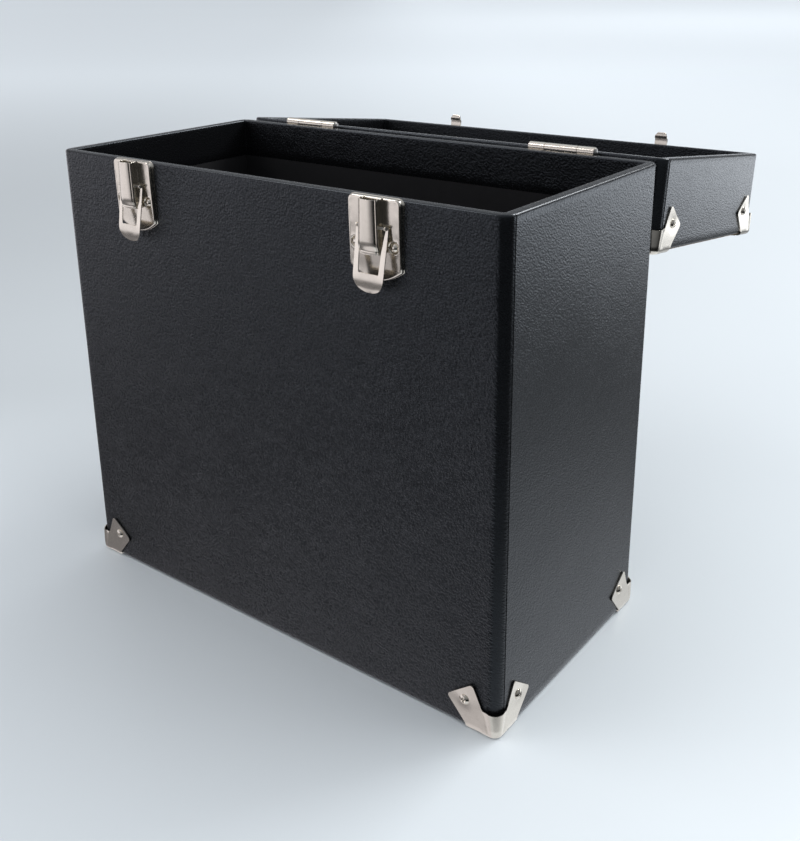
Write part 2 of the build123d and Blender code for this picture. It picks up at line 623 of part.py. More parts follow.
def bracket():
    """A pressed strap: two feet on the lid and a loop round the bail's end."""
    foot = bx(-6, 6, -16.5, 16.5, TOP, TOP + 1.2)
    up = [e for e in foot.edges() if e.bounding_box().size.Z > 1 and e.bounding_box().size.Y < 0.1]
    foot = fillet(up, 2.5)
    loop = rod((-6, 0, PZ), (1, 0, 0), BAIL_R + 1.4, 12)
    web = bx(-6, 6, -BAIL_R - 1.4, BAIL_R + 1.4, TOP + 0.6, PZ)
    s = foot + loop + web
    s = s - rod((-8, 0, PZ), (1, 0, 0), BAIL_R + 0.07, 16)
    for k in (-1, 1):
        s = s - rod((0, k * BRACKET_SCREW_Y, TOP - 1), (0, 0, 1), 1.5, 5)
    return s


def bail():
    """Round wire: two inward-facing legs with their ends turned out into the brackets."""
    xl, xe, r = 49.0, 66.6, 5.0
    pts = [(-xe, PZ), (-xl, PZ), (-xl, PZ + HANDLE_RISE), (xl, PZ + HANDLE_RISE), (xl, PZ), (xe, PZ)]
    path = Plane(origin=(0, 0, 0), x_dir=(1, 0, 0), z_dir=(0, -1, 0)) * FilletPolyline(*pts, radius=r)
    prof = Plane(origin=path @ 0, z_dir=path % 0) * Circle(BAIL_R)
    return sweep(prof, path=path)


def grip():
    """Moulded oval grip on the middle run of the bail."""
    z = PZ + HANDLE_RISE
    pl = Plane(origin=(-GRIP_L / 2, 0, z), x_dir=(0, 1, 0), z_dir=(1, 0, 0))
    g = extrude(pl * Ellipse(9.0, 7.5), GRIP_L, dir=(1, 0, 0))
    ends = [e for e in g.edges() if abs(abs(e.center().X) - GRIP_L / 2) < 0.01]
    g = fillet(ends, 2.5)
    return g - rod((-60, 0, z), (1, 0, 0), BAIL_R + 0.03, 120)


br, bl, gr = bracket(), bail(), grip()
for s, name in ((-1, "left"), (1, "right")):
    save(f"{name}_handle_bracket", opened(Pos(s * HANDLE_X, 0, 0) * br))
save("handle_bracket_screws", *[opened(s) for s in bracket_screws])
save("handle_bail", opened(bl.rotate(HANDLE_AXIS, LEAN)))
save("handle_grip", opened(gr.rotate(HANDLE_AXIS, LEAN)))


# ---- facts for the record -----------------------------------------------
def moved(p):
    """Where a closed-lid point stands with the lid open."""
    a = math.radians(-OPEN_DEG)
    y, z = p[1] - D / 2 - HINGE_OFF, p[2] - HINGE_Z
    return (p[0], D / 2 + HINGE_OFF + y * math.cos(a) - z * math.sin(a),
            HINGE_Z + y * math.sin(a) + z * math.cos(a))


print("hinge axis", (0, D / 2 + HINGE_OFF, HINGE_Z))
print("lever pivot", PIVOT)
print("handle pivot", moved((0, 0, PZ)))
for y, z in ((-1, rim), (1, rim), (-1, ceil_z - BASE_SHEET), (1, ceil_z - BASE_SHEET)):
    print("lid inside corner", moved((0, y * (D / 2 - INNER - COVER), z)))
print("lid top outside", moved((0, 0, TOP)))
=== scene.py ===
import math
import bpy
import bmesh
from mathutils import Matrix, Vector, noise
from mathutils.geometry import delaunay_2d_cdt


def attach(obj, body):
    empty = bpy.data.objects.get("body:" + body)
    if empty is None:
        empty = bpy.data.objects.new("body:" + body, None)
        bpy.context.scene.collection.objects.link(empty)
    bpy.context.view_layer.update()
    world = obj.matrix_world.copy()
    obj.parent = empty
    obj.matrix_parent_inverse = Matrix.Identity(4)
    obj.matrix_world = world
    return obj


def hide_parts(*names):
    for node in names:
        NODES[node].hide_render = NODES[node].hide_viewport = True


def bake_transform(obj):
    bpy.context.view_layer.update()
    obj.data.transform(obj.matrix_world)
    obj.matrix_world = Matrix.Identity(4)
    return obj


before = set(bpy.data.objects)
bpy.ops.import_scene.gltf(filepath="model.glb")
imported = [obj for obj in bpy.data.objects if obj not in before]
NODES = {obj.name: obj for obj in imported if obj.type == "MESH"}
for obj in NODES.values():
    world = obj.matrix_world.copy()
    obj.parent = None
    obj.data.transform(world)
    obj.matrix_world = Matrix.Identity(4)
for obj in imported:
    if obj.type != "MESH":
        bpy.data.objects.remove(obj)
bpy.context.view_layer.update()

MM = 0.001

# ------------------------------------------------------------------ sizes, mm
W, D, H = 360.0, 178.0, 312.0
LID_H, GAP = 60.3, 0.3
TOP = H + GAP + LID_H
FOOT = PT_END = 1.0                      # the protectors' sheet, under and over the case
R_EDGE, R_BASE = 7.5, 1.5
TURN_IN = 28.0
HINGE_Y, HINGE_Z = D / 2 + 4.5, 312.7
OPEN = math.radians(187.2)
PROT_U, PROT_V = 22.0, 19.0
LATCH_X, LATCH_SHIFT = 99.8, -1.7
PIVOT_Z, PIVOT_O = 296.7, 5.3


# ------------------------------------------------------------------ helpers
def opened(p):
    """A point of the closed lid, where it stands with the lid open."""
    y, z = p[1] - HINGE_Y, p[2] - HINGE_Z
    c, s = math.cos(-OPEN), math.sin(-OPEN)
    return (p[0], HINGE_Y + y * c - z * s, HINGE_Z + y * s + z * c)


def same(p):
    return p


def mark_sharp(bm, angle):
    for e in bm.edges:
        if len(e.link_faces) == 2:
            e.smooth = e.calc_face_angle(0.0) < angle
        else:
            e.smooth = False


def build(name, verts, faces, body, mat, move=same, sharp=40.0, weld=0.0, recalc=True,
          replaces=(), mats=None, face_mats=None):
    """A piece from points in mm."""
    me = bpy.data.meshes.new(name)
    pts = [tuple(c * MM for c in move(p)) for p in verts]
    me.from_pydata(pts, [], faces)
    bm = bmesh.new()
    bm.from_mesh(me)
    if face_mats:
        for f, m in zip(bm.faces, face_mats):
            f.material_index = m
    if weld:
        bmesh.ops.remove_doubles(bm, verts=bm.verts, dist=weld * MM)
        bmesh.ops.dissolve_degenerate(bm, edges=bm.edges, dist=1e-7)
    loose = [v for v in bm.verts if not v.link_faces]
    if loose:
        bmesh.ops.delete(bm, geom=loose, context="VERTS")
    if recalc:
        bmesh.ops.recalc_face_normals(bm, faces=bm.faces)
    else:
        # even out single turned faces, and keep the side that most of them face
        old = [f.normal * f.calc_area() for f in bm.faces]
        bmesh.ops.recalc_face_normals(bm, faces=bm.faces)
        bm.normal_update()
        if sum(f.normal.dot(o) for f, o in zip(bm.faces, old)) < 0:
            bmesh.ops.reverse_faces(bm, faces=bm.faces)
    for f in bm.faces:
        f.smooth = True
    mark_sharp(bm, math.radians(sharp))
    bm.to_mesh(me)
    bm.free()
    me.update()
    ob = bpy.data.objects.new(name, me)
    bpy.context.scene.collection.objects.link(ob)
    for m in (mats or [mat]):
        me.materials.append(m)
    if body:
        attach(ob, body)
    if replaces:
        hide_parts(*replaces)
    return ob


# ------------------------------------------------------------------ node helpers
class G:
    """A short way to write a node tree."""

    def __init__(self, tree):
        self.t = tree
        self.x = 0

    def n(self, kind, **kw):
        nd = self.t.nodes.new(kind)
        self.x += 160
        nd.location = (self.x, 0)
        ins = kw.pop("ins", {})
        for k, v in kw.items():
            setattr(nd, k, v)
        for k, v in ins.items():
            self.put(nd.inputs[k], v)
        return nd

    def put(self, sock, v):
        if isinstance(v, bpy.types.NodeSocket):
            self.t.links.new(v, sock)
        elif isinstance(v, bpy.types.Node):
            self.t.links.new(v.outputs[0], sock)
        else:
            sock.default_value = v

    def math(self, op, a, b=0.0, c=0.0, clamp=False):
        nd = self.n("ShaderNodeMath", operation=op, use_clamp=clamp)
        self.put(nd.inputs[0], a)
        self.put(nd.inputs[1], b)
        if op in ("MULTIPLY_ADD", "SMOOTH_MIN", "SMOOTH_MAX", "COMPARE", "WRAP"):
            self.put(nd.inputs[2], c)
        return nd.outputs[0]

    def vmath(self, op, a, b=None, scale=None):
        nd = self.n("ShaderNodeVectorMath", operation=op)
        self.put(nd.inputs[0], a)
        if b is not None:
            self.put(nd.inputs[1], b)
        if scale is not None:
            self.put(nd.inputs["Scale"], scale)
        return nd.outputs["Value"] if op in ("DOT_PRODUCT", "LENGTH", "DISTANCE") else nd.outputs["Vector"]

    def remap(self, v, a, b, c=0.0, d=1.0, kind="SMOOTHSTEP"):
        nd = self.n("ShaderNodeMapRange", interpolation_type=kind)
        for i, x in enumerate((v, a, b, c, d)):
            self.put(nd.inputs[i], x)
        return nd.outputs[0]

    def mix(self, f, a, b, blend="MIX"):
        nd = self.n("ShaderNodeMix", data_type="RGBA", blend_type=blend)
        self.put(nd.inputs[0], f)
        self.put(nd.inputs[6], a)
        self.put(nd.inputs[7], b)
        return nd.outputs[2]

    def noise(self, vec, scale, detail=2.0, rough=0.5, out=0, distortion=0.0):
        nd = self.n("ShaderNodeTexNoise")
        self.put(nd.inputs["Vector"], vec)
        nd.inputs["Scale"].default_value = scale
        nd.inputs["Detail"].default_value = detail
        nd.inputs["Roughness"].default_value = rough
        nd.inputs["Distortion"].default_value = distortion
        return nd.outputs[out]

    def voronoi(self, vec, scale, feature="F1", out="Distance", rand=1.0, smooth=0.3):
        nd = self.n("ShaderNodeTexVoronoi", feature=feature)
        self.put(nd.inputs["Vector"], vec)
        nd.inputs["Scale"].default_value = scale
        nd.inputs["Randomness"].default_value = rand
        if feature == "SMOOTH_F1":
            nd.inputs["Smoothness"].default_value = smooth
        return nd.outputs[out]

    def ramp(self, v, stops, kind="LINEAR"):
        nd = self.n("ShaderNodeValToRGB")
        nd.color_ramp.interpolation = kind
        el = nd.color_ramp.elements
        while len(el) < len(stops):
            el.new(0.5)
        for e, (p, c) in zip(el, stops):
            e.position = p
            e.color = (*c, 1.0) if len(c) == 3 else c
        self.put(nd.inputs[0], v)
        return nd.outputs[0]


def material(name):
    m = bpy.data.materials.new(name)
    m.use_nodes = True
    t = m.node_tree
    t.nodes.clear()
    g = G(t)
    out = t.nodes.new("ShaderNodeOutputMaterial")
    bsdf = t.nodes.new("ShaderNodeBsdfPrincipled")
    t.links.new(bsdf.outputs[0], out.inputs[0])
    return m, g, bsdf


def coords(g):
    return g.n("ShaderNodeTexCoord").outputs["Object"]


def bump(g, bsdf, height, strength, distance):
    nd = g.n("ShaderNodeBump")
    nd.inputs["Strength"].default_value = strength
    nd.inputs["Distance"].default_value = distance
    g.put(nd.inputs["Height"], height)
    g.t.links.new(nd.outputs[0], bsdf.inputs["Normal"])
    return nd


# ------------------------------------------------------------------ materials
def leatherette(name, along, base=(0.0046, 0.0048, 0.0055), rough=0.24, grain=1.0, drawn=0.68, face=3.2):
    """Black grained leatherette: rounded wrinkles drawn out along one slant, over a fine pebble."""
    m, g, b = material(name)
    co = coords(g)
    warp = g.vmath("SUBTRACT", g.noise(co, 85.0, 2.0, 0.5, out=1), (0.5, 0.5, 0.5))
    cw = g.vmath("ADD", co, g.vmath("SCALE", warp, scale=0.003))
    d = Vector(along).normalized()
    run = g.vmath("DOT_PRODUCT", cw, tuple(d))
    cs = g.vmath("SUBTRACT", cw, g.vmath("SCALE", tuple(d), scale=g.math("MULTIPLY", run, drawn)))
    wr = g.noise(cs, 900.0, 1.0, 0.4)
    pebble = g.voronoi(cs, 980.0, "SMOOTH_F1", smooth=0.5)
    grains = g.voronoi(cs, 1500.0, "SMOOTH_F1", smooth=0.4)
    # mask of the grain's grooves: drives the painted shade in the grooves and their extra roughness
    groove_shade_and_rough = g.remap(pebble, 0.38, 0.62)
    fine = g.noise(co, 2600.0, 2.0, 0.6)
    swell = g.noise(co, 150.0, 2.0, 0.5)
    patch = g.remap(g.noise(co, 22.0, 2.0, 0.5), 0.3, 0.7, 0.85, 1.12)
    h = g.math("MULTIPLY_ADD", g.math("SUBTRACT", 1.0, pebble), 1.0, g.math("MULTIPLY", wr, 0.75))
    h = g.math("MULTIPLY_ADD", g.math("SUBTRACT", 1.0, grains), 0.30, h)
    h = g.math("MULTIPLY", h, patch)
    h = g.math("MULTIPLY_ADD", fine, 0.06, h)
    h = g.math("MULTIPLY_ADD", swell, 0.45, h)
    nd = bump(g, b, h, 1.0, 0.0004 * grain)
    # the grain is pulled flat where the leatherette goes round an edge
    sep = g.n("ShaderNodeSeparateXYZ", ins={0: g.n("ShaderNodeTexCoord").outputs["Normal"]}).outputs
    nx, ny, nz = (g.math("ABSOLUTE", v) for v in sep)
    flat = g.remap(g.math("MAXIMUM", nx, g.math("MAXIMUM", ny, nz)), 0.86, 0.985, 0.12, 1.0)
    g.put(nd.inputs["Strength"], g.math("MULTIPLY", flat, g.remap(ny, 0.9, 0.98, 0.25, min(1.0, 0.25 * face))))
    tone = g.noise(co, 14.0, 3.0, 0.6)
    c0 = tuple(c * 0.80 for c in base) + (1.0,)
    c1 = tuple(c * 1.30 for c in base) + (1.0,)
    col = g.mix(tone, c0, c1)
    # painted shade: the grain's grooves are darkened in the base colour
    col = g.mix(g.math("MULTIPLY", groove_shade_and_rough, 0.35), col, (0.0025, 0.0025, 0.0028, 1.0))
    g.put(b.inputs["Base Color"], col)
    r = g.math("MULTIPLY_ADD", g.noise(co, 30.0, 3.0, 0.6), 0.06, rough - 0.03)
    r = g.math("MULTIPLY_ADD", groove_shade_and_rough, 0.05, r)
    g.put(b.inputs["Roughness"], r)
    b.inputs["IOR"].default_value = 1.5
    b.inputs["Specular IOR Level"].default_value = 0.5
    b.inputs["Specular Tint"].default_value = (0.80, 0.90, 1.0, 1.0)
    return m


def nickel(name, tint=(0.815, 0.765, 0.675), rough=0.175, speck=1.0):
    """Satin nickel plate with a fine speckle and slow tarnish clouds."""
    m, g, b = material(name)
    co = coords(g)
    cloud = g.noise(co, 55.0, 4.0, 0.6)
    fine = g.noise(co, 1500.0, 3.0, 0.6)
    blot = g.noise(co, 320.0, 3.0, 0.6)
    a = tuple(c * 0.93 for c in tint) + (1.0,)
    c = tuple(min(1.0, c * 1.05) for c in tint) + (1.0,)
    col = g.mix(cloud, a, c)
    col = g.mix(g.math("MULTIPLY", g.remap(blot, 0.45, 0.75), 0.22 * speck), col,
                (tint[0] * 0.80, tint[1] * 0.78, tint[2] * 0.78, 1.0))
    g.put(b.inputs["Base Color"], col)
    b.inputs["Metallic"].default_value = 1.0
    r = g.math("MULTIPLY_ADD", cloud, 0.08, rough - 0.04)
    r = g.math("MULTIPLY_ADD", fine, 0.05 * speck, r)
    g.put(b.inputs["Roughness"], r)
    h = g.math("MULTIPLY_ADD", blot, 0.6, fine)
    bump(g, b, h, 0.25 * speck, 0.00002)
    return m


def lining(name, base=(0.010, 0.010, 0.011)):
    """Matt black lining paper with a fibre texture."""
    m, g, b = material(name)
    co = coords(g)
    f1 = g.noise(co, 900.0, 3.0, 0.65)
    f2 = g.noise(co, 120.0, 3.0, 0.6)
    col = g.mix(f2, tuple(c * 0.8 for c in base) + (1.0,), tuple(c * 1.35 for c in base) + (1.0,))
    g.put(b.inputs["Base Color"], col)
    g.put(b.inputs["Roughness"], g.math("MULTIPLY_ADD", f1, 0.2, 0.68))
    bump(g, b, g.math("MULTIPLY_ADD", f2, 0.6, f1), 0.5, 0.0001)
    b.inputs["Specular IOR Level"].default_value = 0.3
    return m


def board(name):
    m, g, b = material(name)
    co = coords(g)
    f1 = g.noise(co, 500.0, 4.0, 0.7)
    f2 = g.noise(co, 60.0, 3.0, 0.6)
    col = g.mix(f1, (0.16, 0.12, 0.085, 1.0), (0.27, 0.21, 0.15, 1.0))
    col = g.mix(g.math("MULTIPLY", f2, 0.5), col, (0.20, 0.16, 0.12, 1.0))
    g.put(b.inputs["Base Color"], col)
    g.put(b.inputs["Roughness"], g.math("MULTIPLY_ADD", f1, 0.15, 0.75))
    bump(g, b, f1, 0.4, 0.0002)
    return m


def steel(name, tint=(0.46, 0.45, 0.44), rough=0.32):
    m, g, b = material(name)
    co = coords(g)
    f1 = g.noise(co, 700.0, 3.0, 0.6)
    f2 = g.noise(co, 90.0, 3.0, 0.6)
    col = g.mix(f2, tuple(c * 0.85 for c in tint) + (1.0,), tuple(c * 1.1 for c in tint) + (1.0,))
    g.put(b.inputs["Base Color"], col)
    b.inputs["Metallic"].default_value = 1.0
    g.put(b.inputs["Roughness"], g.math("MULTIPLY_ADD", f1, 0.15, rough - 0.05))
    bump(g, b, f1, 0.2, 0.00004)
    return m


def plastic(name, base=(0.012, 0.012, 0.013), rough=0.42):
    """Moulded black plastic with a fine spark-eroded grain."""
    m, g, b = material(name)
    co = coords(g)
    f1 = g.voronoi(co, 1100.0, "SMOOTH_F1", smooth=0.5)
    f2 = g.noise(co, 45.0, 3.0, 0.6)
    col = g.mix(f2, tuple(c * 0.8 for c in base) + (1.0,), tuple(c * 1.3 for c in base) + (1.0,))
    g.put(b.inputs["Base Color"], col)
    g.put(b.inputs["Roughness"], g.math("MULTIPLY_ADD", f2, 0.12, rough - 0.06))
    bump(g, b, f1, 0.35, 0.00008)
    return m


M_LEATHER = leatherette("leatherette", (0.6, 0.7, -0.45))
M_LEATHER_LID = leatherette("leatherette_lid", (0.6, 0.78, -0.05), grain=0.85, drawn=0.72)
M_NICKEL = nickel("nickel_plate")
M_SCREW = nickel("nickel_fasteners", (0.80, 0.75, 0.66), 0.10, 0.4)
M_STEEL = steel("plain_steel")
M_SPRING = steel("spring_steel", (0.36, 0.36, 0.37), 0.25)
M_LINING = lining("lining")
M_BOARD = board("board")
M_PLASTIC = plastic("grip_plastic")

for n, o in NODES.items():
    o.data.materials.clear()
    if "panel" in n:
        mt = M_BOARD
    elif "covering" in n:
        mt = M_LEATHER
    elif "lining" in n:
        mt = M_LINING
    elif "spring" in n:
        mt = M_SPRING
    elif "screws" in n or "rivets" in n:
        mt = M_SCREW
    elif "catch" in n or n.endswith("hinge_pin"):
        mt = M_STEEL
    elif "grip" in n:
        mt = M_PLASTIC
    else:
        mt = M_NICKEL
    o.data.materials.append(mt)


# ------------------------------------------------------------------ plane outlines
def soft(pts, seg=5):
    """A closed outline with rounded corners, from points (x, y, radius)."""
    out = []
    n = len(pts)
    for i in range(n):
        x, y, r = pts[i]
        p, a, b = Vector((x, y)), Vector(pts[i - 1][:2]), Vector(pts[(i + 1) % n][:2])
        if r <= 0:
            out.append((x, y))
            continue
        da, db = (a - p).normalized(), (b - p).normalized()
        half = da.angle(db) / 2
        t = min(r / math.tan(half), 0.48 * (a - p).length, 0.48 * (b - p).length)
        r = t * math.tan(half)
        c = p + (da + db).normalized() * (r / math.sin(half))
        v0, v1 = p + da * t - c, p + db * t - c
        a0 = math.atan2(v0.y, v0.x)
        turn = (math.atan2(v1.y, v1.x) - a0 + math.pi) % (2 * math.pi) - math.pi
        for k in range(seg + 1):
            w = a0 + turn * k / seg
            out.append((c.x + r * math.cos(w), c.y + r * math.sin(w)))
    return out


def resample(loop, step):
    """The same closed outline with its long edges cut up."""
    out = []
    for i, p in enumerate(loop):
        q = loop[(i + 1) % len(loop)]
        k = max(1, math.ceil(math.dist(p, q) / step))
        out += [(p[0] + (q[0] - p[0]) * j / k, p[1] + (q[1] - p[1]) * j / k) for j in range(k)]
    return out


def inside(p, loops):
    odd = False
    for lp in loops:
        j = len(lp) - 1
        for i in range(len(lp)):
            (xi, yi), (xj, yj) = lp[i], lp[j]
            if (yi > p[1]) != (yj > p[1]) and p[0] < (xj - xi) * (p[1] - yi) / (yj - yi) + xi:
                odd = not odd
            j = i
    return odd


def fill2d(loops, step, lines=(), fine=None):
    """Triangles over an outline with holes. fine: (test, step) for a denser area."""
    pts, edges = [], []
    for lp in list(loops) + list(lines):
        k = len(pts)
        pts += lp
        edges += [(k + i, k + (i + 1) % len(lp)) for i in range(len(lp))]
    fixed = list(pts)
    xs, ys = [p[0] for p in fixed], [p[1] for p in fixed]

    def lattice(s, test):
        row, y = 0, min(ys) + s * 0.5
        while y < max(ys):
            x = min(xs) + (s * 0.25 if row % 2 else s * 0.75)
            while x < max(xs):
                if test((x, y)) and inside((x, y), loops) and min(
                        (x - q[0]) ** 2 + (y - q[1]) ** 2 for q in fixed) > (0.55 * s) ** 2:
                    pts.append((x, y))
                x += s
            y += s * 0.87
            row += 1

    if fine:
        lattice(fine[1], fine[0])
        lattice(step, lambda p: not fine[0](p))
    else:
        lattice(step, lambda p: True)
    v, _, f = delaunay_2d_cdt([Vector(p) for p in pts], edges, [], 0, 1e-7)[:3]
    faces = []
    for t in f:
        c = (sum(v[i].x for i in t) / 3, sum(v[i].y for i in t) / 3)
        if inside(c, loops):
            a, b, d = (v[i] for i in t)
            area2 = (b - a).cross(d - a)
            if abs(area2) > 2e-4:        # slivers along straight edges are left out
                faces.append(tuple(t) if area2 > 0 else tuple(reversed(t)))
    return [(p.x, p.y) for p in v], faces


def smooth(a, b, x):
    t = min(1.0, max(0.0, (x - a) / (b - a)))
    return t * t * (3 - 2 * t)


def curve(x, table):
    """A smooth value through (x, y) pairs."""
    if x <= table[0][0]:
        return table[0][1]
    if x >= table[-1][0]:
        return table[-1][1]
    n = len(table)
    for i in range(n - 1):
        if table[i][0] <= x <= table[i + 1][0]:
            break
    x0, y0 = table[i]
    x1, y1 = table[i + 1]
    m = lambda j: 0.0 if j <= 0 or j >= n - 1 else (
        (table[j + 1][1] - table[j - 1][1]) / (table[j + 1][0] - table[j - 1][0]))
    h = x1 - x0
    t = (x - x0) / h
    return ((2 * t ** 3 - 3 * t ** 2 + 1) * y0 + (t ** 3 - 2 * t ** 2 + t) * h * m(i)
            + (3 * t ** 2 - 2 * t ** 3) * y1 + (t ** 3 - t ** 2) * h * m(i + 1))


def wob(x, y, z, size, seed=0.0):
    return noise.noise(Vector((x / size + seed, y / size - seed * 1.7, z / size + seed * 0.6)))


def sheet(ob, thick, edge, seg=2):
    """Give a surface its thickness, inwards, and round its cut edges."""
    m = ob.modifiers.new("thickness", "SOLIDIFY")
    m.thickness = thick * MM
    m.offset = -1.0
    m.use_even_offset = True
    m.thickness_clamp = 1.5
    bevel(ob, edge, seg, 55.0)
    return ob


def bevel(ob, edge, seg=2, angle=50.0):
    b = ob.modifiers.new("edges", "BEVEL")
    b.width = edge * MM
    b.segments = seg
    b.limit_method = "ANGLE"
    b.angle_limit = math.radians(angle)
    b.harden_normals = False
    return ob


def flip(faces):
    return [tuple(reversed(f)) for f in faces]


def grid(rows, cols, closed=False, k=0):
    """Quads over rows of points; each row goes round when closed."""
    out = []
    for i in range(rows - 1):
        for j in range(cols if closed else cols - 1):
            a, b = k + i * cols + j, k + i * cols + (j + 1) % cols
            out.append((a, b, b + cols, a + cols))
    return out


# ------------------------------------------------------------------ leatherette coverings
def perimeter():
    """Round the case at its outside: x, y, normal x, normal y, side sheet or not."""
    out = []
    a, b, r = W / 2 - R_EDGE, D / 2 - R_EDGE, R_EDGE
    ny, nx, na = 40, 84, 9

    def arc(cx, cy, w0):
        for k in range(1, na):
            w = math.radians(w0 + 90.0 * k / na)
            out.append((cx + r * math.cos(w), cy + r * math.sin(w), math.cos(w), math.sin(w), 0))

    def run(p, q, n, k, side):
        if side:
            out.append((*p, *n, 0))
        for i in range(k + 1):
            t = i / k
            out.append((p[0] + (q[0] - p[0]) * t, p[1] + (q[1] - p[1]) * t, *n, side))
        if side:
            out.append((*q, *n, 0))

    run((W / 2, -b), (W / 2, b), (1, 0), ny, 1)
    arc(a, b, 0)
    run((a, D / 2), (-a, D / 2), (0, 1), nx, 0)
    arc(-a, b, 90)
    run((-W / 2, b), (-W / 2, -b), (-1, 0), ny, 1)
    arc(-a, -b, 180)
    run((-a, -D / 2), (a, -D / 2), (0, -1), nx, 0)
    arc(a, -b, 270)
    return out


def covering(name, length, rim_z, sign, move, body, node, r_end, seed):
    """Leatherette over an open box. length: from the rim to the closed end."""
    per = perimeter()
    lip, inner = 1.5, 6.6
    prof = []                            # off the wall, depth below the rim, seam step
    prof.append((-5.9, TURN_IN, 0))
    prof.append((-inner + 0.1, TURN_IN, 0))
    prof.append((-inner, TURN_IN - 0.15, 0))
    for d in (21.0, 14.0, 7.0, 2.5):
        prof.append((-inner, d, 0))
    ri = 1.1
    for k in range(0, 6):
        w = math.radians(90 * k / 5)
        prof.append((-inner + ri - ri * math.cos(w), ri - ri * math.sin(w), 0))
    prof.append((-3.8, 0.0, 0))
    for k in range(0, 7):
        w = math.radians(90 * k / 6)
        prof.append((-lip + lip * math.sin(w), lip - lip * math.cos(w), 0.15 * k))
    rows = max(6, round((length - r_end - lip) / 4.0))
    for k in range(1, rows):
        prof.append((0.0, lip + (length - r_end - lip) * k / rows, 1))
    for k in range(0, 6):
        w = math.radians(90 * k / 5)
        prof.append((-r_end + r_end * math.cos(w), length - r_end + r_end * math.sin(w), 1 - k / 5))
    prof.append((-5.0, length, 0))
    prof.append((-7.2, length, 0))
    verts = []
    for off, dep, step in prof:
        for x, y, nx, ny, side in per:
            z = rim_z - sign * dep
            o = off
            if off == 0.0 or step:
                wall = smooth(2.0, 8.0, dep) * (1 - smooth(length - 9, length - 3, dep))
                o += wall * (0.07 * wob(x, y, z, 38.0, seed) + 0.025 * wob(x, y, z, 9.0, seed + 3))
            if side:
                o += 0.34 * min(1.0, step)
            sx = 0.0
            if side or nx in (1, -1):
                if abs(abs(y) - (D / 2 - R_EDGE)) < 1e-6:
                    sx = 0.16 * wob(z, y, 0.0, 5.0, 11.0) + 0.10 * wob(z, y, 0.0, 1.7, 5.0)
            verts.append((x + nx * o, y + ny * o + sx, z))
    faces = grid(len(prof), len(per), True)
    k = (len(prof) - 1) * len(per)
    faces.append(tuple(range(k, k + len(per))))
    return build(name, verts, faces, body, M_LEATHER if sign > 0 else M_LEATHER_LID, move, sharp=50,
                 weld=0.004, replaces=(node,))


# ------------------------------------------------------------------ corner protectors
PT = 1.25            # outer face of the sheet, off the leatherette
LEG = [(21.2, 3.0, 2.0), (34.0, 18.0, 2.0), (16.4, 31.8, 2.0), (10.2, 18.0, 0.9), (9.0, 16.5, 0.4),
       (7.4, 17.1, 0.7), (4.2, 16.4, 1.5)]


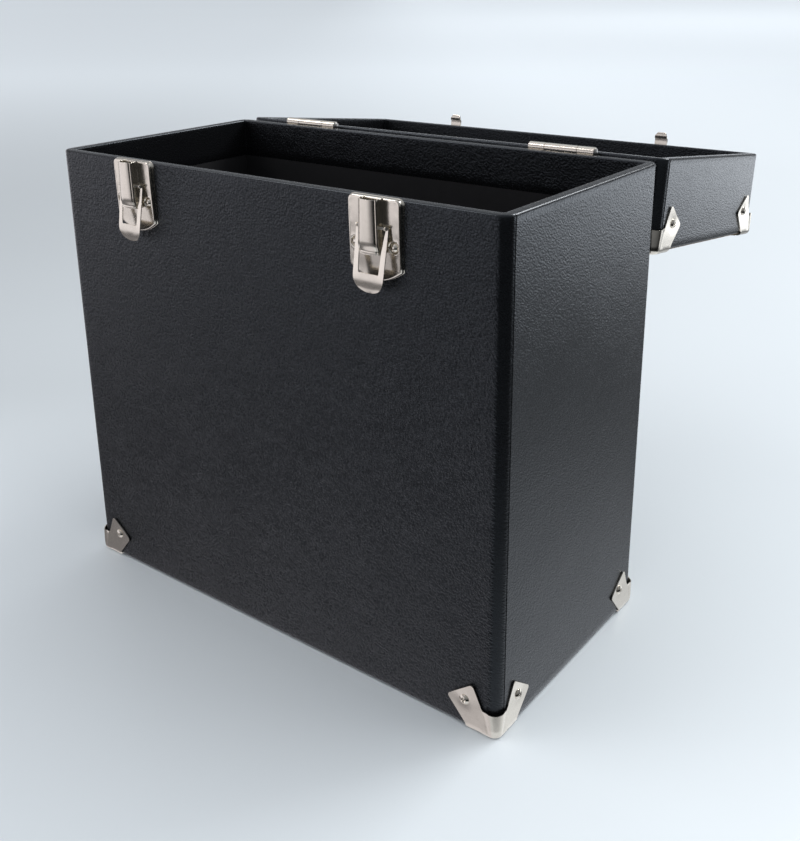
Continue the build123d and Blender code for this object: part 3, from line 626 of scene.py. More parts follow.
def protector_shape(lid):
    rb = 3.2 if lid else 2.0             # radius of the fold onto the end face
    out = 0.0
    s_end = -(rb * math.pi / 2 + 0.5)
    s_low = -rb
    al = 19.6 + PT
    right = [(u + PT, v - rb, r) for u, v, r in LEG]
    base = [(-al, s_end)] + [(x, s_end) for x in
                             [-al + (al - 4.5) * k / 11 for k in range(1, 12)]
                             + [-4.5 + 9.0 * k / 18 for k in range(1, 18)]
                             + [4.5 + (al - 4.5) * k / 11 for k in range(0, 11)]] + [(al, s_end)]
    up = soft([(al, s_end, 0)] + right + [(0, 15.9 - rb, 0)]
              + [(-x, y, r) for x, y, r in reversed(right)] + [(-al, s_end, 0)])
    loop = base + resample(up, 1.3)[1:]
    # the last run of resample closes the outline, so cut what repeats the base
    cut = next(i for i, p in enumerate(loop) if i > len(base) and abs(p[0] + al) < 1e-6
               and abs(p[1] - s_end) < 1e-6)
    loop = loop[:cut]
    v2, f2 = fill2d([loop], 1.9, fine=(lambda p: abs(p[0]) < 11.0 and p[1] < 16.5, 0.9))

    def rc(v):
        return 5.8 + (min(16.0, max(1.5, v)) - 1.5) * 3.5 / 14.5

    def place(a, s):
        if s >= 0:
            v, inw, nr, nz = rb + s, 0.0, 1.0, 0.0
        elif s > -rb * math.pi / 2:
            w = -s / rb
            v, inw, nr, nz = rb - rb * math.sin(w), rb * (1 - math.cos(w)), math.cos(w), -math.sin(w)
        else:
            v, inw, nr, nz = 0.0, rb - s - rb * math.pi / 2, 0.0, -1.0
        r = rc(v)
        d = 0.05 * wob(a, v, 0.0, 7.0, 2.0) * nr
        for sg in (-1, 1):
            q = math.hypot(a - sg * (PROT_U + PT), v - PROT_V)
            d -= 0.28 * math.exp(-(q / 4.2) ** 2)
        d += 0.30 * smooth(20, 33, v) + 0.25 * smooth(26, 36, abs(a))
        # the bulge between the two creases
        cr = abs(a) / max(r, 0.1)
        d += (0.40 * smooth(1.0, 5.5, v) + 0.065 * max(0.0, min(v, 17.0))) * (1 - smooth(0.25, 1.15, cr))
        # the crease itself, and the sharp little lift at its upper end
        d -= 0.16 * math.exp(-((abs(a) - r) / 0.55) ** 2) * smooth(0.5, 3.0, v) * (1 - smooth(15.5, 17.5, v))
        d += 0.40 * math.exp(-((abs(a) - 8.6) / 1.1) ** 2 - ((v - 17.0) / 1.2) ** 2)
        off = PT - inw + d * nr
        z = v + (d * nz if lid else 0.0)
        if abs(a) >= r:
            u = abs(a) - PT
            return (u, -off, z) if a < 0 else (-off, u, z)
        w = (a + r) / (2 * r) * math.pi / 2
        rho = r - inw + d * nr
        c = r - PT
        return (c - rho * math.sin(w), c - rho * math.cos(w), z)

    verts = [place(*p) for p in v2]      # (from the side face, from the front face, above the end)
    faces = list(f2)
    rim = [place(a, s) for a, s in base]
    under = [(p[0], p[1]) for p in rim]
    tail = soft([(*under[-1], 0), (2.6, 22.5, 1.0), (17.2, 31.5, 2.2), (31.5, 17.2, 2.2),
                 (22.5, 2.6, 1.0), (*under[0], 0)])
    tail = resample(tail, 1.6)
    end = next(i for i, p in enumerate(tail) if i > 5 and math.dist(p, under[0]) < 1e-6)
    loop2 = under + tail[1:end]
    v3, f3 = fill2d([loop2], 2.0)
    k = len(verts)
    for x, y in v3:
        z = 0.0
        if lid:
            z = -0.95 * smooth(4, 13, min(x, 60)) * smooth(4, 13, y)
        verts.append((x, y, z))
    faces += [tuple(k + i for i in f) for f in f3]
    return verts, faces


def protectors():
    for lid in (False, True):
        pv, pf = protector_shape(lid)
        for sx, xn in ((1, "right"), (-1, "left")):
            for sy, yn in ((-1, "front"), (1, "back")):
                top = TOP + PT_END
                vs = [(sx * (W / 2 - x), sy * (D / 2 - y), (top - z) if lid else z) for x, y, z in pv]
                turned = (sx < 0) ^ (sy > 0) ^ lid
                node = f"{'lid' if lid else 'body'}_corner_{yn}_{xn}"
                ob = build(node + "_plate", vs, flip(pf) if turned else pf,
                           "lid" if lid else "case_body", M_NICKEL,
                           opened if lid else same, sharp=60, weld=0.01, recalc=False,
                           replaces=(node,))
                sheet(ob, 0.8, 0.24)


# ------------------------------------------------------------------ screws and rivets
def turned(profile, seg=36, shape=None):
    """A solid of revolution about the outward axis: (radius, height) from centre to edge."""
    verts, faces = [(0.0, 0.0, profile[0][1])], []
    rows = profile[1:]
    for r, h in rows:
        for j in range(seg):
            w = 2 * math.pi * j / seg
            verts.append((r * math.cos(w), r * math.sin(w), h))
    for j in range(seg):
        faces.append((0, 1 + j, 1 + (j + 1) % seg))
    faces += grid(len(rows), seg, True, 1)
    if shape:
        verts = [shape(*v) for v in verts]
    return verts, faces


def frame_at(p, out, turn=0.0):
    """Local (x, y, up) to case coordinates at p, with up along out."""
    n = Vector(out).normalized()
    t = Vector((0, 0, 1)) if abs(n.z) < 0.9 else Vector((1, 0, 0))
    a = t.cross(n).normalized()
    b = n.cross(a)
    c, s = math.cos(turn), math.sin(turn)
    ax, bx = a * c + b * s, b * c - a * s
    o = Vector(p)
    return lambda q: tuple(o + ax * q[0] + bx * q[1] + n * q[2])


def pan_head(r, h, cross=1.0, depth=1.0):
    """A domed head with a cross recess."""
    rows = [(0.0, h)]
    n = 17
    ball = (r * r + (h - 0.35) ** 2) / (2 * (h - 0.35))
    for k in range(1, n + 1):
        q = r * k / n
        rows.append((q, h - ball + math.sqrt(max(0.0, ball * ball - q * q))))
    rows += [(r, 0.18), (r * 0.985, -0.05), (r * 0.6, -0.06)]
    w, L = 0.42 * cross, 1.75 * cross

    def shape(x, y, z):
        if z <= 0.3:
            return (x, y, z)
        d = 0.0
        for p, q in ((x, y), (y, x)):
            g = (1 - smooth(w * 0.75, w * 1.35, abs(p))) * (1 - smooth(L * 0.62, L, abs(q)))
            d = max(d, g * (1.0 - 0.45 * min(1.0, abs(q) / L)))
        return (x, y, z - depth * d)
    return turned(rows, 56, shape)


def flat_head(r, cross=1.0, depth=0.9):
    rows = [(0.0, 0.0)] + [(r * k / 14, 0.0) for k in range(1, 14)] + [(r - 0.12, 0.0), (r, -0.12),
                                                                      (r * 0.75, -0.8)]
    w, L = 0.42 * cross, 1.7 * cross

    def shape(x, y, z):
        d = 0.0
        if z > -0.05:
            for p, q in ((x, y), (y, x)):
                g = (1 - smooth(w * 0.75, w * 1.35, abs(p))) * (1 - smooth(L * 0.62, L, abs(q)))
                d = max(d, g * (1.0 - 0.45 * min(1.0, abs(q) / L)))
        return (x, y, z - depth * d)
    return turned(rows, 48, shape)


def dome_head(r, h, base=0.3, foot=0.0):
    rows = [(0.0, h)]
    rise = h - base
    ball = (r * r + rise * rise) / (2 * rise)
    for k in range(1, 13):
        q = r * math.sin(math.radians(90 * k / 12))
        rows.append((q, h - ball + math.sqrt(max(0.0, ball * ball - q * q))))
    rows += [(r, base * 0.5), (r * 0.98, foot), (r * 0.6, foot - 0.01)]
    return turned(rows, 40)


def many(name, head, sites, body, mat, move, node, sharp=35):
    """The same head at every site: (point, outward, turn)."""
    hv, hf = head
    verts, faces = [], []
    for p, out, turn in sites:
        fr = frame_at(p, out, turn)
        k = len(verts)
        verts += [fr(q) for q in hv]
        faces += [tuple(k + i for i in f) for f in hf]
    return build(name, verts, faces, body, mat, move, sharp=sharp, weld=0.0,
                 recalc=True, replaces=(node,))


OUT = {"front": (0, -1, 0), "back": (0, 1, 0), "left": (-1, 0, 0), "right": (1, 0, 0)}


def on_face(side, a, z, off=0.0):
    return {"front": (a, -D / 2 - off, z), "back": (a, D / 2 + off, z),
            "left": (-W / 2 - off, a, z), "right": (W / 2 + off, a, z)}[side]


def all_screws():
    rnd = [0.62, 1.31, 0.18, 2.05, 0.93, 2.6, 1.77, 0.4, 1.1, 2.3, 0.05, 1.52]
    up = PT - 0.28
    for lid in (False, True):
        z = TOP + PT_END - PROT_V if lid else PROT_V
        sites, k = [], 0
        for sx in (-1, 1):
            for side in ("front", "back"):
                sites.append((on_face(side, sx * (W / 2 - PROT_U), z, up), OUT[side], rnd[k % 12]))
                k += 1
        for sy in (-1, 1):
            for side in ("left", "right"):
                sites.append((on_face(side, sy * (D / 2 - PROT_U), z, up), OUT[side], rnd[k % 12]))
                k += 1
        if lid:
            for sx in (-1, 1):
                for sy in (-1, 1):
                    sites.append(((sx * (W / 2 - 20), sy * (D / 2 - 20), TOP + PT_END + 0.85), (0, 0, 1), rnd[k % 12]))
                    k += 1
        many("lid_corner_screw_heads" if lid else "body_corner_screw_heads", pan_head(3.25, 1.8, 1.08),
             sites, "lid" if lid else "case_body", M_SCREW,
             opened if lid else same, "lid_corner_screws" if lid else "body_corner_screws")
    sites = [((sx * (W / 2 - 20), sy * (D / 2 - 20), -0.0), (0, 0, -1), rnd[i])
             for i, (sx, sy) in enumerate(((-1, -1), (-1, 1), (1, -1), (1, 1)))]
    sites = [((p[0], p[1], 0.03), o, t) for p, o, t in sites]
    many("underside_screw_heads", flat_head(2.6), sites, "case_body", M_SCREW,
         same, "body_underside_screws")
    # hinge screws
    hs = [(-17.0, 301.0), (17.0, 301.0), (0.0, 293.5)]
    b, l, k = [], [], 0
    for s in (-1, 1):
        for dx, z in hs:
            b.append(((s * 110 + dx, D / 2 + 1.2, z), (0, 1, 0), rnd[k % 12]))
            l.append(((s * 110 + dx, D / 2 + 1.2, 2 * HINGE_Z - z), (0, 1, 0), rnd[(k + 5) % 12]))
            k += 1
    many("hinge_body_screw_heads", pan_head(2.5, 1.15, 0.85, 0.7), b, "case_body",
         M_SCREW, same, "hinge_body_screws")
    many("hinge_lid_screw_heads", pan_head(2.5, 1.15, 0.85, 0.7), l, "lid",
         M_SCREW, opened, "hinge_lid_screws")
    sites = [((s * 61.0, k * 11.5, TOP + 1.2), (0, 0, 1), rnd[i])
             for i, (s, k) in enumerate(((-1, -1), (-1, 1), (1, -1), (1, 1)))]
    many("handle_bracket_screw_heads", pan_head(2.85, 1.35, 0.95, 0.8), sites, "lid",
         M_SCREW, opened, "handle_bracket_screws")


# ------------------------------------------------------------------ latches
def lp(cx):
    """(u, off the case, z) to case coordinates for the latch at cx."""
    return lambda p: (cx + p[0], -D / 2 - p[1], p[2])


def plate_loop(inset):
    """The base plate's outline in (u, z), the same number of points at any inset."""
    h, t, r = PL_W - inset, PL_TOP - inset, max(0.4, 3.4 - inset)
    pts = []
    # bottom arc, from the right side to the left
    R, z0 = 22.0 + inset * 0.0, PL_LOW + inset
    side = PL_SIDE + inset * 0.6
    n = 26
    for k in range(n + 1):
        u = h - 2 * h * k / n
        z = z0 + (side - z0) * (abs(u) / h) ** 2
        pts.append((u, z))
    for k in range(1, 12):
        pts.append((-h, side + (t - r - side) * k / 12))
    for k in range(9):
        w = math.radians(180 - 90 * k / 8)
        pts.append((-h + r + r * math.cos(w), t - r + r * math.sin(w)))
    for k in range(1, 14):
        pts.append((-h + r + 2 * (h - r) * k / 14, t))
    for k in range(9):
        w = math.radians(90 - 90 * k / 8)
        pts.append((h - r + r * math.cos(w), t - r + r * math.sin(w)))
    for k in range(1, 12):
        pts.append((h, t - r - (t - r - side) * k / 12))
    return pts[::-1]                     # counter-clockwise seen from outside


PL_W, PL_TOP, PL_LOW, PL_SIDE = 17.9, 312.5, 265.9, 272.6
PL_O = 3.2
RV_U, RV_Z = 13.0, 286.0


def tray(z):
    """The plate's face is lower off the case at its foot."""
    return 0.70 + 0.30 * smooth(264, 306, z)


def latch_base(cx, name):
    prof = [(-0.25, 0.06), (-0.08, 0.3), (-0.01, 0.7), (0.02, 1.5), (0.06, 2.2), (0.16, 2.62), (0.36, 2.98),
            (0.66, 3.20), (1.02, 3.30), (1.5, 3.30)]
    verts, n = [], len(plate_loop(0))
    for inset, o in prof:
        for u, z in plate_loop(inset):
            wide = 0.0
            if o < 1.0:
                wide = 0.75 * smooth(300, 312, z) * (1 - o)
            verts.append((u + math.copysign(wide, u) * smooth(8, 17, abs(u)), o * tray(z), z))
    faces = grid(len(prof), n, True)
    inner = plate_loop(1.5)
    rings = []
    for sx in (-1, 1):
        for r in (2.95, 3.35):
            rings.append([(sx * RV_U + r * math.cos(2 * math.pi * k / 32),
                           RV_Z + r * math.sin(2 * math.pi * k / 32)) for k in range(32)])
    near = lambda p: math.hypot(abs(p[0]) - RV_U, p[1] - RV_Z) < 4.8
    # the window behind the housing, where the catch swings back
    gap = resample([(-3.7, 294.9), (3.7, 294.9), (3.7, 310.0), (-3.7, 310.0)], 1.7)
    v2, f2 = fill2d([inner, gap], 1.7, lines=rings, fine=(near, 0.6))
    k = len(verts)
    edge = [(p[0], p[1]) for p in inner[::3]]
    for u, z in v2:
        e = min(math.hypot(u - p[0], z - p[1]) for p in edge)
        o = (PL_O + 0.10 * (1 - smooth(0.0, 2.0, e))) * tray(z)
        for sx in (-1, 1):
            q = math.hypot(u - sx * RV_U, z - RV_Z)
            if q < 4.8:
                o += 0.13 * math.exp(-((q - 3.75) / 0.35) ** 2) * smooth(0.2, 1.0, e)
                o -= (1 - smooth(2.95, 3.45, q)) * 1.3
        o += 0.035 * wob(u, z, cx, 7.0, 1.0) * smooth(0.0, 1.0, e)
        verts.append((u, o, z))
    faces += [tuple(k + i for i in f) for f in f2]
    k = len(verts)
    for low in (0.0, 0.8):
        for u, z in gap:
            e = min(math.hypot(u - p[0], z - p[1]) for p in edge)
            o = (PL_O + 0.10 * (1 - smooth(0.0, 2.0, e))) * tray(z)
            verts.append((u, o + 0.035 * wob(u, z, cx, 7.0, 1.0) * smooth(0.0, 1.0, e) - low, z))
    faces += grid(2, len(gap), True, k)
    # a flange laid over the edge of the rim
    k = len(verts)
    f_u = [-16.4 + 32.8 * j / 16 for j in range(17)]
    for o, z in ((2.1, 312.42), (0.6, 312.26), (-0.8, 312.22), (-1.7, 312.2), (-1.8, 312.12), (-1.7, 312.05),
                 (-0.8, 312.05)):
        for j, u in enumerate(f_u):
            back = 0.9 if j in (0, 16) and o < 0 else (0.3 if j in (1, 15) and o < 0 else 0.0)
            verts.append((u, o + back, z))
    faces += grid(7, 17, False, k)
    return build(f"{name}_latch_base_plate", verts, faces, "case_body", M_NICKEL, lp(cx),
                 sharp=60, weld=0.003, recalc=False, replaces=(f"{name}_latch_base",))


def housing_section(z):
    """Half the cover's cross-section at height z, from its foot on the plate to the middle."""
    hw = 6.75 - 0.55 * smooth(283, 311, z)
    # towards the foot the front turns in, then flares at the lip
    drop = 1.5 * (1 - smooth(283.0, 288.0, z)) - 0.75 * (1 - smooth(282.1, 283.4, z))
    edge, mid = 8.9 - drop * 0.7, 10.2 - drop
    lip = 0.45 * (1 - smooth(282.1, 283.4, z))
    hw += lip * 0.7
    pts = [(-hw - 0.9, 2.9), (-hw - 0.35, 3.05), (-hw - 0.05, 3.5), (-hw, 4.4), (-hw, 5.6), (-hw, 6.8),
           (-hw, edge - 0.9), (-hw + 0.06, edge - 0.42), (-hw + 0.25, edge - 0.10), (-hw + 0.5, edge - 0.02),
           (-hw + 0.75, edge - 0.14), (-hw + 0.95, edge - 0.22), (-hw + 1.15, edge - 0.08),
           (-hw + 1.4, edge + 0.18)]
    a = hw - 1.4
    for k in range(1, 9):
        u = -a + a * k / 8
        pts.append((u, edge + 0.18 + (mid - edge - 0.18) * (1 - (u / a) ** 2)))
    return pts


def latch_housing(cx, name):
    zs = [282.2, 282.5, 282.9, 283.4, 284.1, 285.0, 286.2, 287.6, 289.5, 292, 295, 298, 301, 304, 307,
          309.5, 311.2, 312.2]
    verts = []
    for i, z in enumerate(zs):
        half = housing_section(z)
        row = half + [(-u, o) for u, o in reversed(half[:-1])]
        for u, o in row:
            zz = z
            if i == len(zs) - 1 and abs(u) > 5.6 and o < 8.6:
                zz += 0.9 * math.sin((o - 3.0) * 2.3) * smooth(2.8, 4.0, o)
            if i == 0 and abs(u) < 6:
                zz -= 0.25 * (1 - (u / 6.0) ** 2)
            verts.append((u, o, zz))
    n = len(row)
    ob = build(f"{name}_latch_housing_cover", verts, grid(len(zs), n), "case_body", M_NICKEL,
               lp(cx), sharp=60, recalc=False, replaces=(f"{name}_latch_housing",))
    return sheet(ob, 0.7, 0.14)


LV = [(0.0, 4.25), (3.0, 4.55), (6.0, 5.05), (13.7, 6.35), (20.0, 7.45), (25.5, 8.3), (29.5, 8.7), (33.5, 8.3),
      (36.7, 7.3)]


def latch_lever(cx, name, body):
    hw = 10.5
    outer = [(11.0, 0.4, 0.3), (10.5, 24.5, 3.0)]
    arc = []
    for k in range(0, 19):
        w = math.radians(180 * k / 18)
        c, q = math.cos(w), math.sin(w)
        arc.append((hw * math.copysign(abs(c) ** 0.86, c), 25.8 + 10.9 * q ** 0.86, 0))
    pts = [(9.7, 0.4, 0.3)] + outer[:1] + arc + [(-11.0, 0.4, 0.3), (-9.7, 0.4, 0.3), (-8.6, 6.2, 3.0),
                                                 (-7.75, 12.5, 3.0), (-7.0, 25.6, 0.9), (7.0, 25.6, 0.9),
                                                 (7.75, 12.5, 3.0), (8.6, 6.2, 3.0)]
    loop = [(x, -y) for x, y in resample(soft(pts, 4), 1.1)]
    v2, f2 = fill2d([loop], 1.3)
    verts = []
    for u, w in v2:
        w = -w
        o = curve(w, LV) + 0.5
        # dished finger tab with a raised rim
        q = math.hypot(u / 8.6, (w - 29.6) / 6.2)
        o -= 0.20 * (1 - smooth(0.45, 1.0, q)) * smooth(24.0, 28.5, w)
        # the arms are pressed round along their length
        o -= 0.18 * smooth(9.4, 11.0, abs(u)) * (1 - smooth(22, 27, w))
        verts.append((u, o, PIVOT_Z - w))
    k = len(verts)
    ob = build(f"{name}_latch_lever_plate", verts, f2 if orient(verts, f2) else flip(f2), body, M_NICKEL,
               lp(cx), sharp=60, recalc=False, replaces=(f"{name}_latch_lever",))
    sheet(ob, 0.95, 0.26, 3)
    # the rolled eyes at the tops of the arms
    ev, ef = [], []
    for sx in (-1, 1):
        k = len(ev)
        n = 24
        prof = [(0.81, -0.55), (1.05, -0.55), (1.16, -0.48), (1.2, -0.36), (1.2, 0.36), (1.16, 0.48),
                (1.05, 0.55), (0.81, 0.55)]
        for r, du in prof:
            for j in range(n):
                w = 2 * math.pi * j / n
                ev.append((sx * 9.7 + du, PIVOT_O + r * math.cos(w), PIVOT_Z + r * math.sin(w)))
        m = len(prof)
        for i in range(m):
            for j in range(n):
                a, b = k + i * n + j, k + i * n + (j + 1) % n
                c, d = k + ((i + 1) % m) * n + (j + 1) % n, k + ((i + 1) % m) * n + j
                ef.append((a, b, c, d))
    build(f"{name}_latch_lever_eyes", ev, ef, body, M_NICKEL, lp(cx), sharp=50)


def latch_pin(cx, name, body):
    """The pin through the lever's eyes, with rounded ends."""
    prof = [(0.0, -10.45), (0.45, -10.4), (0.68, -10.28), (0.78, -10.05)]
    prof += [(0.78, -8.0 + 2.0 * k) for k in range(9)]
    prof += [(r, -u) for r, u in prof[3::-1]]
    verts, n = [], 20
    for r, u in prof:
        for j in range(n):
            w = 2 * math.pi * j / n
            verts.append((u, PIVOT_O + r * math.cos(w), PIVOT_Z + r * math.sin(w)))
    build(f"{name}_latch_pin_rod", verts, grid(len(prof), n, True), body, M_STEEL, lp(cx),
          sharp=50, weld=0.002, replaces=(f"{name}_latch_pin",))


def latch_spring(cx, name):
    """Torsion spring round the pin, with one leg running down along the plate and one running up."""
    r, wire, pitch, turns = 1.25, 0.3, 0.64, 4
    path = [(-5.35, PIVOT_O - r, PIVOT_Z - 8.5 + 8.5 * k / 8) for k in range(8)]
    n = 20 * turns
    for k in range(n + 1):
        w = 2 * math.pi * turns * k / n
        path.append((-5.35 + pitch * turns * k / n, PIVOT_O - r * math.cos(w), PIVOT_Z + r * math.sin(w)))
    path += [(-5.35 + pitch * turns, PIVOT_O - r, PIVOT_Z + 6.2 * k / 6) for k in range(1, 7)]
    pts = [Vector(p) for p in path]
    m, verts = 12, []
    side = Vector((1.0, 0.0, 0.0))
    for i, p in enumerate(pts):
        t = (pts[min(i + 1, len(pts) - 1)] - pts[max(i - 1, 0)]).normalized()
        side = (side - t * side.dot(t)).normalized()
        other = t.cross(side)
        rounds = [(0.0, wire)]
        if i == 0:
            rounds = [(-0.12, wire * 0.45), (-0.09, wire * 0.75), (0.0, wire)]
        elif i == len(pts) - 1:
            rounds = [(0.0, wire), (0.09, wire * 0.75), (0.12, wire * 0.45)]
        for ahead, q in rounds:
            for j in range(m):
                w = 2 * math.pi * j / m
                verts.append(tuple(p + t * ahead + side * (q * math.cos(w)) + other * (q * math.sin(w))))
    rows = len(verts) // m
    faces = grid(rows, m, True)
    faces.append(tuple(range(m)))
    faces.append(tuple((rows - 1) * m + j for j in range(m)))
    ob = build(f"{name}_latch_spring_wire", verts, faces, None, M_SPRING, lp(cx), sharp=60,
               replaces=(f"{name}_latch_spring",))
    at = lambda u: tuple(v * MM for v in lp(cx)((u, PIVOT_O, PIVOT_Z)))
    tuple(at(-4.95))
    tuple(at(-3.15))
    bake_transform(ob)


def orient(verts, faces):
    """True when the first faces look away from the case (towards more off)."""
    a, b, c = (Vector(verts[i]) for i in faces[len(faces) // 2][:3])
    # in (u, off, z) the move to case coordinates mirrors one axis
    return (b - a).cross(c - a).y < 0


def keeper(cx, name):
    t = 0.5
    line = [(0.5, 331.0), (0.5, 320.2), (0.75, 319.2), (1.4, 318.3), (5.9, 314.4), (6.6, 313.6), (6.9, 312.6),
            (6.9, 309.0), (6.9, 304.0), (6.9, 303.3)]
    out_side = [(o + t * (0.0 if i == 0 else 1.0), z) for i, (o, z) in enumerate(line)]

    def offs(sign):
        r = []
        for i, p in enumerate(line):
            a, b = line[max(0, i - 1)], line[min(len(line) - 1, i + 1)]
            d = Vector((b[0] - a[0], b[1] - a[1])).normalized()
            r.append((p[0] - sign * d.y * t, p[1] + sign * d.x * t))
        return r
    front, back = offs(1), offs(-1)
    # the hem: folded back behind the tip, up to its own edge
    hem = [(6.35, 302.95), (5.65, 303.1), (5.35, 303.6), (5.32, 305.5), (5.32, 307.4), (5.5, 307.85),
           (6.1, 307.95), (6.38, 307.7)]
    back = [p for p in back if p[1] > 308.1]
    tip = [(7.35, 303.5), (7.2, 303.1), (6.9, 302.95)]
    loop = [p for p in front if p[1] > 303.6] + tip + hem + back[::-1]
    hw = lambda z: 5.2 - 2.3 * (1 - smooth(302.6, 306.0, z)) if z < 306.0 else 5.2
    us = (-1.0, -0.93, 0.93, 1.0)
    verts, n = [], len(loop)
    for f in us:
        for o, z in loop:
            verts.append((f * hw(z), o, z))
    faces = grid(len(us), n, True)
    faces.append(tuple(range(n)))
    faces.append(tuple(reversed(range(3 * n, 4 * n))))
    ob = build(f"{name}_keeper_tongue", verts, faces, "lid", M_NICKEL,
               lambda p: opened(lp(cx)(p)), sharp=40, replaces=(f"{name}_keeper",))
    bevel(ob, 0.16, 2, 50)
    outl = resample(soft([(10, 319.0, 1.5), (10, 334.0, 3.0), (-10, 334.0, 3.0), (-10, 319.0, 1.5)]), 1.5)
    v2, f2 = fill2d([outl], 2.2)
    vs = [(u, 1.05 + 0.15 * (1 - smooth(2.5, 4.2, min(math.hypot(u - 6.6, z - 328), math.hypot(u + 6.6, z - 328)))), z)
          for u, z in v2]
    ob = build(f"{name}_keeper_plate", vs, f2 if orient(vs, f2) else flip(f2), "lid", M_NICKEL,
               lambda p: opened(lp(cx)(p)), sharp=60, recalc=False)
    sheet(ob, 1.0, 0.28)


def latches():
    rv, kr = [], []
    for s, name in ((-1, "left"), (1, "right")):
        cx = s * LATCH_X + LATCH_SHIFT
        latch_base(cx, name)
        latch_housing(cx, name)
        latch_lever(cx, name, f"{name}_lever")
        latch_pin(cx, name, f"{name}_lever")
        latch_spring(cx, name)
        keeper(cx, name)
        for k in (-1, 1):
            rv.append(((cx + k * RV_U, -D / 2 - 1.3, RV_Z), (0, -1, 0), 0.0))
            kr.append(((cx + k * 6.6, -D / 2 - 1.15, 328.0), (0, -1, 0), 0.0))
    many("latch_rivet_heads", dome_head(2.8, 2.3, 0.35), rv, "case_body", M_SCREW, same,
         "latch_rivets")
    many("keeper_rivet_heads", dome_head(2.4, 1.5, 0.3), kr, "lid", M_SCREW, opened,
         "keeper_rivets")


# ------------------------------------------------------------------ handle grip
def grip():
    """Moulded grip: an oval bar with a swelled middle, finger waves and end collars."""
    z0 = TOP + 4.4 + 27.6
    n, rows = 44, []
    half = 43.0
    xs = [-half + 0.0, -half + 0.5, -half + 1.3, -half + 2.6, -half + 4.4, -half + 5.0, -half + 5.4]
    xs += [-half + 5.4 + (2 * half - 10.8) * k / 40 for k in range(1, 40)]
    xs += [-x for x in xs[6::-1]]
    verts = []
    for x in xs:
        e = half - abs(x)
        if e < 4.6:
            s = 1.0 - 0.22 * (1 - math.sqrt(max(0.0, 1 - (1 - min(1.0, e / 2.6)) ** 2)))
            ry, rz = 9.3 * s, 7.8 * s
        elif e < 5.2:
            ry, rz = 8.2, 6.8
        else:
            sw = 0.5 * (1 - (x / 37.6) ** 2)
            ry, rz = 8.5 + sw, 7.0 + sw
        for j in range(n):
            w = 2 * math.pi * j / n
            c, s_ = math.cos(w), math.sin(w)
            px = math.copysign(abs(c) ** 0.86, c) * ry
            pz = math.copysign(abs(s_) ** 0.86, s_) * rz
            if e >= 5.2:
                # finger waves on the side away from the lid
                pz += 0.55 * math.cos(x * 2 * math.pi / 19.0) * smooth(0.2, 0.9, s_)
            # parting line
            if abs(s_) < 0.08:
                px += math.copysign(0.18, c)
            verts.append((x, px, z0 + pz))
    faces = grid(len(xs), n, True)
    for end, base in ((0, 0), (len(xs) - 1, (len(xs) - 1) * n)):
        ring = list(range(base, base + n))
        k = len(verts)
        x = xs[end]
        for j in range(n):
            w = 2 * math.pi * j / n
            verts.append((x, 2.15 * math.cos(w), z0 + 2.15 * math.sin(w)))
        for j in range(n):
            a, b = ring[j], ring[(j + 1) % n]
            faces.append((a, b, k + (j + 1) % n, k + j))
    pz = TOP + 4.4
    lean = OPEN - math.pi

    def move(p):
        c, s = math.cos(lean), math.sin(lean)
        y, z = p[1], p[2] - pz
        return opened((p[0], y * c - z * s, pz + y * s + z * c))
    ob = build("handle_grip_moulding", verts, faces, "handle", M_PLASTIC, move, sharp=45,
               replaces=("handle_grip",))
    bevel(ob, 0.2, 2, 50)


# ------------------------------------------------------------------ floor, light, camera
def make_floor():
    me = bpy.data.meshes.new("floor")
    s = 40.0
    me.from_pydata([(-s, -s, 0), (s, -s, 0), (s, s, 0), (-s, s, 0)], [], [(0, 1, 2, 3)])
    ob = bpy.data.objects.new("floor", me)
    bpy.context.scene.collection.objects.link(ob)
    # the floor's colour carries painted light and shade: lighter to the right, darker behind the case, lighter far off
    m, g, b = material("pale_floor_painted_light")
    co = coords(g)
    f = g.noise(co, 1.3, 2.0, 0.5)
    # painted light: the floor's tone rises towards the right, where the lamps fall brighter
    painted_light_across = g.remap(g.vmath("DOT_PRODUCT", co, (0.79, 0.62, 0.0)), -0.75, 0.75)
    away = g.remap(g.vmath("DOT_PRODUCT", co, (-0.585, 0.749, 0.0)), 0.9, 4.0)
    depth = g.remap(g.vmath("DOT_PRODUCT", co, (-0.585, 0.749, 0.0)), 0.0, 0.38)
    tone = g.math("MULTIPLY_ADD", f, 0.03, 0.565)
    # painted shade: from the case's middle backwards the floor is darkened, strongly on the left and barely on the
    # right
    drop = g.math("MULTIPLY", depth, g.math("MULTIPLY_ADD", painted_light_across, -0.30, 0.34))
    tone = g.math("MULTIPLY", tone, g.math("SUBTRACT", 1.0, drop))
    # painted light: far off, the floor is lifted to a lighter tone, lightest to the right
    far = g.math("MULTIPLY_ADD", painted_light_across, 0.20, 0.80)
    tone = g.math("ADD", g.math("MULTIPLY", tone, g.math("SUBTRACT", 1.0, away)), g.math("MULTIPLY", away, far))
    col = g.mix(tone, (0.0, 0.0, 0.0, 1.0), (0.945, 1.02, 1.07, 1.0))
    g.put(b.inputs["Base Color"], col)
    b.inputs["Roughness"].default_value = 0.35
    b.inputs["Specular IOR Level"].default_value = 0.35
    me.materials.append(m)
    ob.visible_glossy = False
    return ob


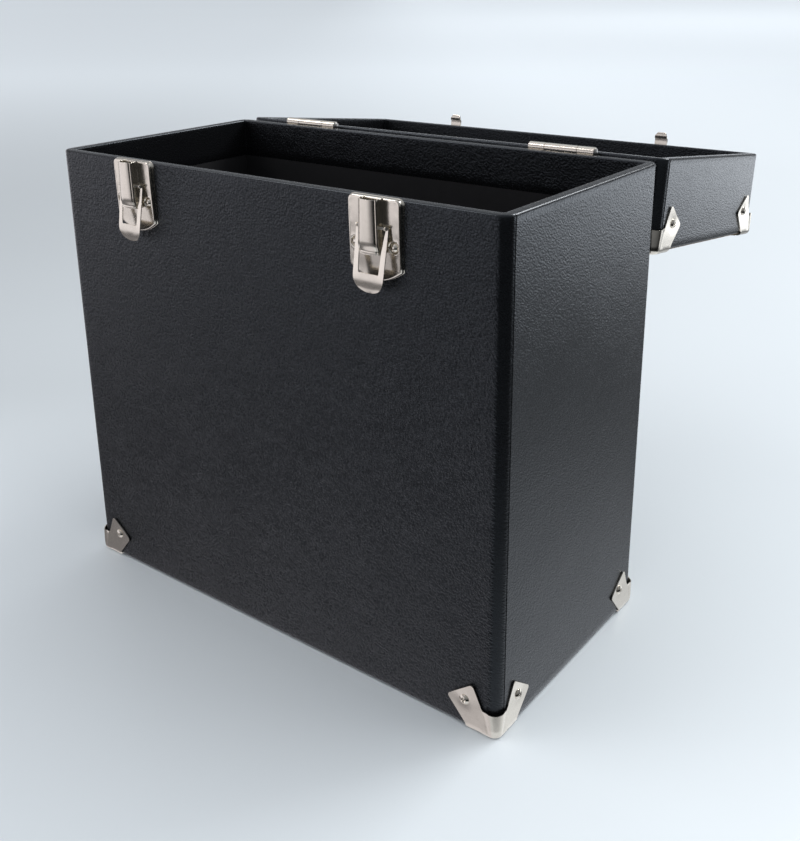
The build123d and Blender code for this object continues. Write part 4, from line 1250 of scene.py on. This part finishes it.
def make_world():
    """Soft studio surroundings: each side of the room is a band of light by height."""
    w = bpy.data.worlds.new("studio")
    bpy.context.scene.world = w
    w.use_nodes = True
    t = w.node_tree
    t.nodes.clear()
    g = G(t)
    out = t.nodes.new("ShaderNodeOutputWorld")
    bg = t.nodes.new("ShaderNodeBackground")
    t.links.new(bg.outputs[0], out.inputs[0])
    d = g.vmath("NORMALIZE", g.n("ShaderNodeTexCoord").outputs["Generated"])
    sep = g.n("ShaderNodeSeparateXYZ", ins={0: d})
    x, y, z = sep.outputs
    az = g.math("MULTIPLY", g.math("ARCTAN2", y, x), 180 / math.pi)
    el = g.math("MULTIPLY_ADD", g.math("ARCSINE", z), 1 / math.pi, 0.5)

    def side(levels, tint=(0.955, 1.0, 1.06)):
        return g.ramp(el, [((e + 90) / 180, tuple(v * c for c in tint)) for e, v in levels])

    left = side([(-90, 0.66), (-50, 0.72), (-41, 0.71), (-35, 0.20), (-28, 0.19), (-20, 0.13), (-14, 0.88),
                 (-8, 0.85), (0, 1.05), (12, 0.85), (26, 0.25), (48, 0.70), (90, 0.4)], (1.01, 0.98, 1.04))
    dark = side([(-90, 0.60), (-50, 0.80), (-39, 0.85), (-35, 0.30), (-31, 0.03), (-20, 0.004), (-8, 0.006),
                 (2, 0.18), (30, 0.28), (60, 0.4), (90, 0.4)])
    back = side([(-90, 1.0), (-42, 0.97), (-36, 0.75), (-31, 0.70), (-25, 0.32), (-18, 0.18), (-14, 0.9),
                 (-10, 3.1), (-5, 1.6), (6, 0.3), (20, 0.25), (50, 0.8), (90, 0.4)])
    col = g.mix(g.remap(az, -120, -80), left, dark)
    col = g.mix(g.remap(az, 28, 58), col, back)
    col = g.mix(g.remap(az, 140, 178), col, left)
    # seen directly, above the horizon, the room is one pale tone
    col = g.mix(g.n("ShaderNodeLightPath").outputs["Is Camera Ray"], col, (0.74, 0.80, 0.86, 1.0))
    g.put(bg.inputs["Color"], col)
    bg.inputs["Strength"].default_value = 1.0


def area(name, loc, target, size, power, color=(1, 1, 1), size_y=None):
    l = bpy.data.lights.new(name, "AREA")
    l.energy = power
    l.color = color
    l.size = size
    if size_y:
        l.shape = "RECTANGLE"
        l.size_y = size_y
    o = bpy.data.objects.new(name, l)
    o.location = loc
    d = Vector(target) - Vector(loc)
    o.rotation_mode = "QUATERNION"
    o.rotation_quaternion = d.to_track_quat("-Z", "Y")
    bpy.context.scene.collection.objects.link(o)
    o.visible_glossy = False
    return o


def strip(name, az, el, dist, size, size_y, power):
    """A softbox that shows in the gloss."""
    a, e = math.radians(az), math.radians(el)
    o = area(name, (dist * math.cos(a) * math.cos(e), dist * math.sin(a) * math.cos(e), 0.3 + dist * math.sin(e)),
             (0, 0, 0.3), size, power, size_y=size_y)
    o.visible_glossy = True
    return o


def sky_light(towards, strength, spread):
    l = bpy.data.lights.new("sky", "SUN")
    l.energy = strength
    l.angle = math.radians(spread)
    o = bpy.data.objects.new("sky", l)
    o.rotation_mode = "QUATERNION"
    o.rotation_quaternion = Vector(towards).to_track_quat("Z", "Y")
    bpy.context.scene.collection.objects.link(o)
    o.visible_glossy = False
    return o


def make_camera():
    az, el, roll = (math.radians(v) for v in (37.985, 18.159, -0.849))
    fw = Vector((-math.sin(az) * math.cos(el), math.cos(az) * math.cos(el), -math.sin(el)))
    rt = Vector((math.cos(az), math.sin(az), 0.0))
    up = rt.cross(fw)
    r2 = rt * math.cos(roll) + up * math.sin(roll)
    u2 = -rt * math.sin(roll) + up * math.cos(roll)
    cam = bpy.data.cameras.new("camera")
    cam.sensor_width = 36.0
    cam.sensor_fit = "AUTO"
    cam.lens = 1034.75 * 36.0 / 841.0
    cam.shift_x = (400.0 - 386.94) / 841.0
    cam.shift_y = (306.83 - 420.5) / 841.0
    cam.clip_start, cam.clip_end = 0.01, 200.0
    ob = bpy.data.objects.new("camera", cam)
    ob.matrix_world = Matrix((
        (r2.x, u2.x, -fw.x, 0.43615), (r2.y, u2.y, -fw.y, -0.51448),
        (r2.z, u2.z, -fw.z, 0.42822), (0, 0, 0, 1)))
    bpy.context.scene.collection.objects.link(ob)
    bpy.context.scene.camera = ob


covering("body_covering_skin", H - FOOT, H, 1, same, "case_body", "body_covering", R_BASE, 0.0)
covering("lid_covering_skin", LID_H, H + GAP, -1, opened, "lid", "lid_covering", 3.3, 31.0)
protectors()
all_screws()
latches()
grip()

make_floor()
make_world()
make_camera()
sky_light((0.42, 0.42, 1.0), 1.9, 80.0)
strip("strip_behind", 69.0, 38.0, 3.0, 1.5, 0.95, 50.0)
strip("strip_left", -153.0, 48.0, 3.0, 1.2, 0.8, 12.0)
area("overhead", (-0.5, -1.0, 2.2), (-0.2, -0.3, 0.0), 2.2, 9.5)
area("front_fill", (-1.4, -1.6, 1.0), (-0.15, -0.25, 0.0), 1.0, 9.0)
area("right_fill", (1.7, 1.2, 1.4), (0.6, 0.5, 0.0), 1.2, 9.0)
area("far_fill", (-2.4, 7.6, 3.0), (-2.4, 7.6, 0.0), 3.0, 22.0)
bpy.context.scene.view_settings.view_transform = "Standard"
